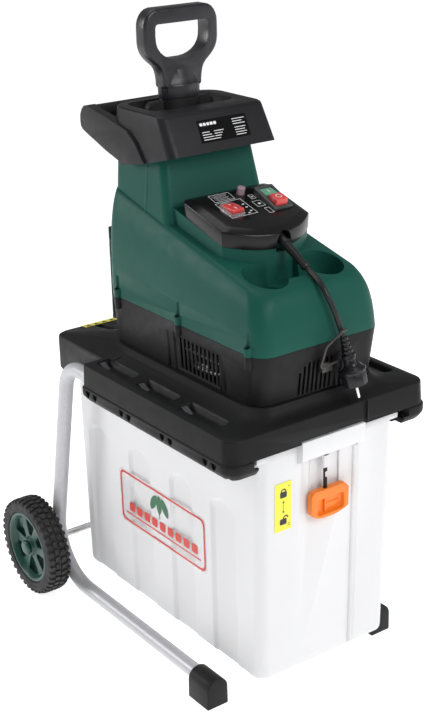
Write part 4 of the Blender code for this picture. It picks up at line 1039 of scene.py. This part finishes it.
# ---- control box and its switches
shell_rows = [
    (82, 0, 262, -27.6), (82.8, -0.8, 262.8, -7), (82.4, -0.3, 262.4, -5.4), (80.6, 1.6, 260.6, -4.2),
    (71, 11, 251, -0.5), (69.4, 12.6, 249.4, 0),
]
shell = loft("shell", [slope(bow(*row), lift) for *row, lift in shell_rows])
inside = loft("inside", [slope(bow(77, 6, 257), -40), slope(bow(76, 7, 256), -8)])
arch = [(-5.5, 690), (21.5, 690), (21.5, 718)] + arc(8, 718, 13.5, 0, 180, 12)[1:-1] + [(-5.5, 718)]
RESET = (12, 80)
ROCKER = (-33, 40)
u0, u1, v0, v1 = 28, 63, 13, 70


def rocker_box(name, half_u, half_v, *depth):
    u, v = ROCKER
    return panel_box(name, u - half_u, u + half_u, v - half_v, v + half_v, *depth)


def panel_disc(name, spot, count, *rows):
    """A round or oval piece on the panel: for each row two radii and a height."""
    return panel_loft(name, [(circle(*spot, a, b, count), w) for a, b, w in rows])


cut(
    shell,
    inside,
    prism("arch", arch, "Y", 100, 150),
    panel_box("switch_well", u0 + 2, u1 - 2, v0 + 2, v1 - 2, -20, 5),
    rocker_box("rocker_well", 13.4, 18, -20, 5),
    panel_disc("reset_well", RESET, 32, (7, 7, -20), (7, 7, 5)),
)
soften(shell, 0.8, 3, 40)
finished(shell, "control_box", PANEL, 40)


def bezel(outline, lower):
    """The switch's raised rim, which is low at the front and high at the back."""
    return [on_panel(u, v, 4.5 + 8.5 * (v - v0) / (v1 - v0) - lower) for u, v in outline]


outer = rounded(u0, u1, v0, v1, 2.5, 2.5, 5)
inner = rounded(u0 + 1, u1 - 1, v0 + 1, v1 - 1, 2, 2, 5)
foot_ring = [on_panel(u, v, 0.3) for u, v in outer]
plate_switch = loft("plate_switch", [foot_ring, bezel(outer, 1), bezel(inner, 0)])
join(plate_switch, panel_box("body", u0 + 2.6, u1 - 2.6, v0 + 2.6, v1 - 2.6, -19, 3))
cut(
    plate_switch,
    panel_box("green_well", u0 + 5, u1 - 5, v0 + 31, v1 - 5, -6, 19),
    panel_box("red_well", u0 + 5, u1 - 5, v0 + 5, v0 + 28.5, -6, 19),
)
soften(plate_switch, 0.5, 2, 40)
finished(plate_switch, "switch_plate", SMOKE)
start = panel_box("start", u0 + 5.4, u1 - 5.4, v0 + 31.4, v1 - 5.4, -2, 10.5, 0.7)
finished(soften(start, 0.9, 3), "start_button", GREEN_BUTTON)
stop = panel_box("stop", u0 + 5.4, u1 - 5.4, v0 + 5.4, v0 + 28.1, -2, 14.5, 1.4)
finished(soften(stop, 1.2, 3), "stop_button", RED)
bar_mark = rounded(44.7, 46.3, v0 + 37, v1 - 11, 0.6, 0.6, 3)
ink([stamp(on_panel, bar_mark, 10.55, 0.1)], "start_button", WHITE_INK, "start_button_mark")
ring_mark = ring_outline(45.5, 30, 5.2, 4, 0, 359, 32)
ink([stamp(on_panel, ring_mark, 14.55, 0.1)], "stop_button", WHITE_INK, "stop_button_mark")

guard_rows = [(18, 22, 0.3), (17.9, 21.9, 1.6), (17.3, 21.3, 2.8), (16, 20, 3.6)]
guard = panel_disc("guard", ROCKER, 56, *guard_rows)
join(guard, rocker_box("body", 13, 17.6, -18, 2))
cut(guard, rocker_box("room", 11.6, 16.4, -12, 9, 0, 1))
finished(soften(guard, 0.4, 2, 40), "rocker_cover", CLEAR)
ROCKER_SIDE = [
    (-14.6, 4.2), (-14, 8), (-13, 9), (-6, 7.6), (0, 6.6), (6, 5.6), (13, 4.6), (14.4, 3.8), (14.8, 2.4),
    (12, -1.5), (0, -4.5), (-12, -1.5),
]


def on_rocker(u, v, w):
    return on_panel(ROCKER[0] + u, ROCKER[1] + v, w)


rocker = loft("rocker", [[on_rocker(u, v, w) for v, w in ROCKER_SIDE] for u in (-11, 11)])
finished(soften(rocker, 0.6, 2), "selector_rocker", RED)
rocker_marks = []
for p, tall in ((-7, 4), (8, 2.6)):
    mark = [(-1, p - tall), (1, p - tall), (1, p + tall), (-1, p + tall)]
    rings = [[on_rocker(u, v, 6.75 - 0.165 * v + d) for u, v in mark] for d in (0, 0.12)]
    rocker_marks.append(loft("mark", rings))
ink(rocker_marks, "selector_rocker", WHITE_INK, "rocker_marks")
reset = panel_disc("reset", RESET, 40, (6.4, 6.4, -9), (6.4, 6.4, 9.2), (6.1, 6.1, 10.3), (5.4, 5.4, 11))
finished(soften(reset, 0.3, 2, 40), "reset_button", CLEAR_PINK)


# ---- collection box
FLUTES = (108, 219, 338, 464)


def wall_t(z):
    """How far up the box's wall a height is, from 0 at the floor to 1 under the rim."""
    return (z - BOX_FLOOR) / (430 - BOX_FLOOR)


def side_x(z, out=0):
    return 129.6 + 3.4 * wall_t(z) + out


def front_y(z, deep=0):
    return 19 - 6.5 * wall_t(z) + deep


def box_ring(z, inset):
    half = side_x(z, -inset)
    back = 527 + 2.5 * wall_t(z) - inset
    radius = 20 - inset * 0.6
    return level(rounded(-half, half, front_y(z, inset), back, radius, radius, 8), z)


foot_round = ((0, 7), (0.8, 3.4), (2.4, 1.4), (5, 0.3), (9, 0))
bin_rings = [box_ring(BOX_FLOOR + up, inset) for up, inset in foot_round]
bin_body = loft("bin_body", bin_rings + [box_ring(BOX_RIM, 0)])
rim = prism("rim", rounded(-139.2, 139.2, 18, 530.8, 4, 12, 6), "Z", 432.2, BOX_RIM)
ledge_outline = [(0.5, 450.4), (14, 450.4), (14, 412), (6, 417), (1.6, 420), (0.5, 422.5)]
ledge = prism("ledge", ledge_outline, "X", -61, 61)
join(bin_body, rim, ledge, box("sheath", -17.4, -5.6, 3.4, 16, 396.6, 416))
tools = [loft("inside", [box_ring(60, 8), box_ring(470, 8)])]
for middle in FLUTES:
    arch_line = [(middle - 26.5, 40), (middle + 26.5, 40)] + arc(middle, 310, 25, 0, 180, 16, 22)
    for side in (-1, 1):
        rings = []
        for depth, grow in ((-5, -2), (-4.7, 0), (-3.2, 2.6), (-1.4, 4.6), (-0.2, 6.4), (2, 9)):
            ring = []
            for y, z in arch_line:
                wide = middle + (y - middle) * (1 + grow / 25)
                high = z + (grow if z > 60 else 0)
                ring.append((side * side_x(z, depth), wide, high))
            rings.append(ring)
        tools.append(loft("flute", rings[::side]))


def front_recess(x0, x1, z0, z1, depth):
    corners = [(x0, z0), (x1, z0), (x1, z1), (x0, z1)]
    floor_ring = [(x, front_y(z, depth), z) for x, z in corners]
    return loft("recess", [floor_ring, [(x * 1.05, 8, z) for x, z in corners]])


tools.append(front_recess(-54, 54, 40, 418, 1.8))
tools.append(front_recess(-37, 23, 330, 414, 4.8))
tools.append(box("tongue_way", -15.5, -7.5, 5, 10.6, 390, 460))
cut(bin_body, *tools)
soften(bin_body, 1.1, 3, 30)
extras = []
path = [(54, front_y(z, 4.6), z) for z in (60, 120, 180, 240, 300, 360, 412)]
extras.append(swept("ridge", path, 6.4, 20))
for x0, x1 in ((-138, -62.5), (62.5, 138)):
    strip = [(12, 433), (18.6, 433), (18.6, 445.4), (12.6, 445.4), (11.4, 442)]
    extras.append(soften(prism("strip", strip, "X", x0, x1), 0.8, 2))
for x in (-37, 21.4):
    corners = [(x, 332), (x + 1.6, 332), (x + 1.6, 411), (x, 411)]
    rings = [[(p, front_y(z, deep), z) for p, z in corners] for deep in (6, 1)]
    extras.append(soften(loft("channel_wall", rings), 0.5, 2))
lump(bin_body, *extras)
finished(bin_body, "collection_box", MILKY, 40)

slider_outline = [
    (-42.5, 355), (-41, 358.2), (-36.5, 361.5), (22.5, 361.5), (30.5, 353.5), (30.5, 321.5), (25, 319),
    (19, 317), (12, 315.3), (5, 314.2), (-7, 313.8), (-19, 314.2), (-27, 315.7), (-34, 318), (-39.5, 321.6),
    (-42.5, 326),
]
slider = prism("slider", slider_outline, "Y", 1.5, 12.4)
grip_rings = []
for depth, grow in ((9.5, -3), (8.6, -1.2), (6, 0), (2, 1.2), (-2, 3)):
    outline = rounded(-30 - grow, 20.5 + grow, 321 - grow, 345.5 + grow, 5, 5, 6)
    grip_rings.append([(x, depth, z) for x, z in outline])
cut(slider, loft("grip", grip_rings), box("seat", -14.8, -8.2, 5.7, 10, 349.5, 370))
soften(slider, 1.5, 4, 40)
web = soften(box("web", -14, -10.5, 5.6, 10, 322, 344), 0.6, 2)
lump(slider, web, soften(box("step", -10.5, 17, 8.3, 10, 323, 334), 0.6, 2))
finished(slider, "latch_slider", ORANGE, 45)
tongue = box("tongue", -14.3, -8.7, 6.2, 9.6, 350, 428)
notch_cut = box("notch", -12.6, -8, 5, 10, 378, 388)
finished(soften(cut(tongue, notch_cut), 0.5, 2), "latch_tongue", BLACK_DEEP)


def on_front(outline, out=INK[0], thick=INK[1]):
    """A film or print on the sloping front wall of the collection box."""
    return stamp(lambda x, z, d: (x, front_y(z, -d), z), outline, out, thick)


def on_side(outline, out=SIDE_INK[0], thick=SIDE_INK[1]):
    return stamp(lambda y, z, d: (-side_x(z, d), y, z), outline, out + thick, -thick)


finished(on_front(rounded(-104, -72.5, 311, 391, 2, 2, 4), *FILM), "latch_label", YELLOW_FILM)
marks = []
for cz, lean in ((328, 4.6), (373, 0)):
    marks.append(rounded(-94.5, -81.5, cz - 7, cz + 3, 2.4, 2.4, 4))
    marks.append(ring_outline(-88 + lean, cz + 3, 5.2, 3, 0, 180))
marks += [dash(-88.7, -87.3, 344.4 + 2.8 * k, 1.7) for k in range(5)]
marks.append([(-90.2, 357.6), (-85.8, 357.6), (-88, 361.4)])
marks.append([(-90.2, 343.6), (-88, 339.8), (-85.8, 343.6)])
marks += [dash(-79.6, -75.4, z) for z in (317, 320, 383)]
ink([on_front(mark) for mark in marks], "latch_label", BLACK_INK, "latch_label_marks")

finished(on_side(rounded(152, 400, 186, 286, 8, 8), *FILM), "side_label", CLEAR_FILM)


def border_edge(inset, out):
    """An edge of the printed border, this far inside the film's edge and off the wall."""
    outline = rounded(152 + inset, 400 - inset, 186 + inset, 286 - inset, 10, 10)
    return [(-side_x(z, out), y, z) for y, z in outline]


INK_FOOT = SIDE_INK[0]
INK_TOP = sum(SIDE_INK)
edges = [border_edge(*edge) for edge in ((3, INK_FOOT), (6.4, INK_FOOT), (6.4, INK_TOP), (3, INK_TOP))]
border = [loft("line", edges, closed=True)]
border.append(on_side(rounded(168, 384, 205, 207.6, 1.2, 1.2, 3)))
ink(border, "side_label", RED_INK, "side_label_border")


def leaf(cy, lean):
    """A pointed leaf 34 long and 15 wide, turned by lean degrees."""
    c, s = cos(radians(lean)), sin(radians(lean))
    points = []
    for k in range(32):
        t = 2 * pi * k / 32
        p = 17 * cos(t)
        q = 7.5 * sin(t) * abs(sin(t)) ** 0.4
        points.append((cy + p * c - q * s, 258 + p * s + q * c))
    return points


green = [on_side(leaf(cy, lean)) for cy, lean in ((266, 60), (282, 90), (298, 120))]
green.append(on_side(rounded(281.2, 282.8, 232, 243, 0.6, 0.6, 3)))
ink(green, "side_label", GREEN_INK, "side_label_leaves")
bars = []
for k in range(9):
    y = 176 + 22.6 * k
    bars.append(on_side(rounded(y, y + 16, 213, 229, 3, 3, 4)))
ink(bars, "side_label", RED_INK, "side_label_blocks")


# ---- pusher
def both_halves(half):
    """A closed outline from its right half, mirrored about the pusher's middle."""
    return [(PUSH_X + x, z) for x, z in half] + [(PUSH_X - x, z) for x, z in reversed(half)]


handle_half = [
    (46, 1035), (52.6, 1033.4), (58, 1030.2), (62.6, 1025.4), (66, 1019.4), (68, 1013),
    (68.5, 1006), (68.5, 984), (67.4, 976), (65, 969), (61, 962.6), (56, 957), (45, 947.5),
    (41.4, 943), (39, 938), (37.4, 931), (36.5, 925), (36, 912),
]
handle = prism("handle", both_halves(handle_half), "Y", PUSH_Y - 14, PUSH_Y + 14)
soften(handle, 5.5, 5, 50)
window_half = [
    (44.6, 1011.6), (47.6, 1010.2), (49, 1006.6), (49.4, 995), (48.6, 984), (46, 976.4), (41.6, 970),
    (35.6, 964.6), (28, 960.5), (19.4, 957.8), (10, 956.5),
]
window = prism("window", both_halves(window_half), "Y", PUSH_Y - 30, PUSH_Y + 30)
neck_layers = [
    (36.5, 22, 897.3), (36.8, 22, 916), (36.4, 21.6, 917.6), (35.6, 20.5, 918.6), (35, 18, 929),
    (34, 15, 940), (31.6, 12.6, 948), (28, 11, 953),
]
neck = loft("neck", [level(circle(PUSH_X, PUSH_Y, a, b, 64), z) for a, b, z in neck_layers])
join(handle, neck)
cut(handle, window)
soften(handle, 1.8, 4, 48)
finished(handle, "pusher_handle", HANDLE_BLACK, 45)
stem = prism("stem", circle(PUSH_X, PUSH_Y, 35.5, 21, 56), "Z", 700, 897)
vane_outline = [
    (PUSH_X - 62, 705), (PUSH_X + 62, 705), (PUSH_X + 62, 882), (PUSH_X + 60.4, 888),
    (PUSH_X + 55, 894), (PUSH_X - 55, 894), (PUSH_X - 60.4, 888), (PUSH_X - 62, 882),
]
join(stem, prism("vane", vane_outline, "Y", PUSH_Y - 6.5, PUSH_Y + 6.5))
finished(soften(stem, 1.5, 3), "pusher_paddle", BLACK_DEEP, 40)


# ---- printed labels on the housing
def on_collar(outline, out=INK[0], thick=INK[1]):
    rise = 47 / 84
    return stamp(lambda x, z, d: (x, 239 + (z - 800) * rise - d * 0.87, z + d * 0.49), outline, out, thick)


rating = on_collar([(-39, 845), (53, 845), (54, 876), (-37, 876)], *FILM)
finished(rating, "rating_label", RATING_FILM)
marks = []
for k in range(5):
    x = -34 + 6.4 * k
    marks.append(rounded(x, x + 5, 868, 872, 0.8, 0.8, 3))
marks += [dash(26, x1, 870.4 - 3.4 * row) for row, x1 in enumerate((50, 44, 49))]
for row in range(4):
    for x0, x1 in ((-34, -20 + 3 * row), (-12, 6 - 3 * row), (27, 48 - 2 * (row % 2))):
        marks.append(dash(x0, x1, 858.6 - 3.4 * row))
ink([on_collar(mark) for mark in marks], "rating_label", WHITE_INK, "rating_label_marks")


def on_base_back(outline, out=INK[0], thick=INK[1]):
    return stamp(lambda x, y, d: (x, y, 491 + (541 - y) * 6.5 / 49 + d), outline, out, thick)


back_film = on_base_back([(-108, 523), (-42, 523), (-42, 540), (-108, 540)], *FILM)
finished(back_film, "base_label", YELLOW_FILM)
marks = []
for k in range(4):
    x = -104 + 15.5 * k
    marks.append([(x, 526), (x + 10, 526), (x + 5, 537)])
ink([on_base_back(mark) for mark in marks], "base_label", BLACK_INK, "base_label_marks")

marks = []
panel_boxes = (
    [(-47, 64.5), (-47.5, 19), (0.5, 20), (0.5, 66)],
    [(-42, 89.5), (-43.5, 68.5), (-6, 69.5), (-5, 89.5)],
    [(18.5, 70), (18.5, 58.5), (26.6, 58.5), (26.6, 70)],
    [(12.5, 51), (12.5, 34.5), (26.6, 34.5), (26.6, 51)],
    [(18.5, 27.5), (18.5, 12), (26.6, 12), (26.6, 27.5)],
)
for corners in panel_boxes:
    for (ax, ay), (bx, by) in zip(corners, corners[1:] + corners[:1]):
        run = Vector((bx - ax, by - ay))
        across = Vector((-run.y, run.x)).normalized() * 0.4
        line = [(ax + across.x, ay + across.y), (bx + across.x, by + across.y)]
        line += [(bx - across.x, by - across.y), (ax - across.x, ay - across.y)]
        marks.append(line)
for k in range(5):
    marks.append(rounded(-38.5, -11 - 3 * (k % 2), 72.6 + 3.2 * k, 73.1 + 3.2 * k, 0.2, 0.2, 2))
for u, v in ((20.4, 43.4), (20.4, 41.4), (-5.5, 49.6), (-5.5, 40.3), (-5.5, 28.7), (-12, 24), (22.5, 64)):
    marks.append(rounded(u - 2.2, u + 2.2, v - 1.2, v + 1.2, 0.8, 0.8, 3))
ink([stamp(on_panel, mark, *PANEL_INK) for mark in marks], "control_box", WHITE_INK, "control_box_marks")


# ---- motor and cutter
CUT_Y = 198
bracket = prism("bracket", rounded(-106, 106, 60, 264, 30, 6, 10), "Z", 541, 544)
cut(bracket, cylinder("hole", "Z", 0, CUT_Y, 20, 530, 560, 48))
finished(soften(bracket, 0.5, 2), "motor_bracket", GALVANISED)
motor_profile = [(544.3, 14), (544.3, 61), (552, 64)]
for k in range(9):
    z = 555 + 6 * k
    motor_profile += [(z, 64), (z + 1, 62.4), (z + 3, 62.4), (z + 4, 64)]
motor_profile += [
    (612, 64), (618, 61), (622, 56), (622, 14), (618, 14), (618, 9.4), (548, 9.4),
    (548, 14),
]
finished(turned("motor", motor_profile, 0, CUT_Y, "Z", 64, closed=True), "motor_body", SHADED_CAST)
finished(soften(cylinder("shaft", "Z", 0, CUT_Y, 8, 512, 640, 32), 0.8), "motor_shaft", STEEL)
fan_profile = [(624, 8.3), (624, 44), (626.5, 44), (626.5, 14), (634, 14), (634, 8.3)]
fan = turned("fan", fan_profile, 0, CUT_Y, "Z", 48, closed=True)
blades = []
for k in range(6):
    t = radians(60 * k + 7)
    outline = []
    for p, q in ((13, -1), (42, -1), (42, 1), (13, 1)):
        outline.append((p * cos(t) - q * sin(t), CUT_Y + p * sin(t) + q * cos(t)))
    blades.append(prism("blade", outline, "Z", 626, 633))
finished(soften(join(fan, *blades), 0.4), "cooling_fan", BLACK_DEEP)
disc_profile = [(515, 8.3), (515, 104), (521, 104), (521, 24), (534, 24), (534, 8.3)]
disc = turned("disc", disc_profile, 0, CUT_Y, "Z", 96, closed=True)
slots = []
for sign in (1, -1):
    x0, x1 = sorted((sign * 40, sign * 96))
    y0, y1 = sorted((CUT_Y + sign * 14, CUT_Y + sign * 24))
    slots.append(box("chip_slot", x0, x1, y0, y1, 505, 530))
finished(soften(cut(disc, *slots), 0.5), "cutting_disc", STEEL)
for number, sign in ((1, 1), (2, -1)):
    x0, x1 = sorted((sign * 38, sign * 98))
    near, far = CUT_Y + sign * 16, CUT_Y - sign * 16
    ring_a = [(x0, far, 521.3), (x0, near, 521.3), (x0, near + sign * 3, 525.3), (x0, far, 525.3)]
    knife = loft("knife", [ring_a, [(x1, y, z) for _, y, z in ring_a]])
    wells = [cylinder("well", "Z", sign * x, CUT_Y, 3.4, 523.4, 530, 24) for x in (52, 84)]
    finished(soften(cut(knife, *wells), 0.3), f"knife_{number}", STEEL)
ramp = prism("ramp", [(309, 526), (311, 524.5), (413, 632), (411, 633.5)], "X", -82, 82)
finished(soften(ramp, 0.4), "feed_ramp", GALVANISED)
bolt = soften(turned("bolt", [(505.5, 9), (511.7, 9)], 0, CUT_Y, "Z", 6), 0.7, 3)
finished(bolt, "disc_bolt", DARK_STEEL)
can_profile = [(546, 15.4), (546.6, 16.6), (548, 17), (609.6, 17), (611, 16.4), (612, 15.2)]
finished(turned("can", can_profile, -62, 76, "Z", 48), "motor_capacitor", DARK_STEEL)
safety = soften(box("safety", 40, 62, 8, 20, 458, 474), 1, 3)
finished(safety, "safety_switch", BLACK_DEEP)
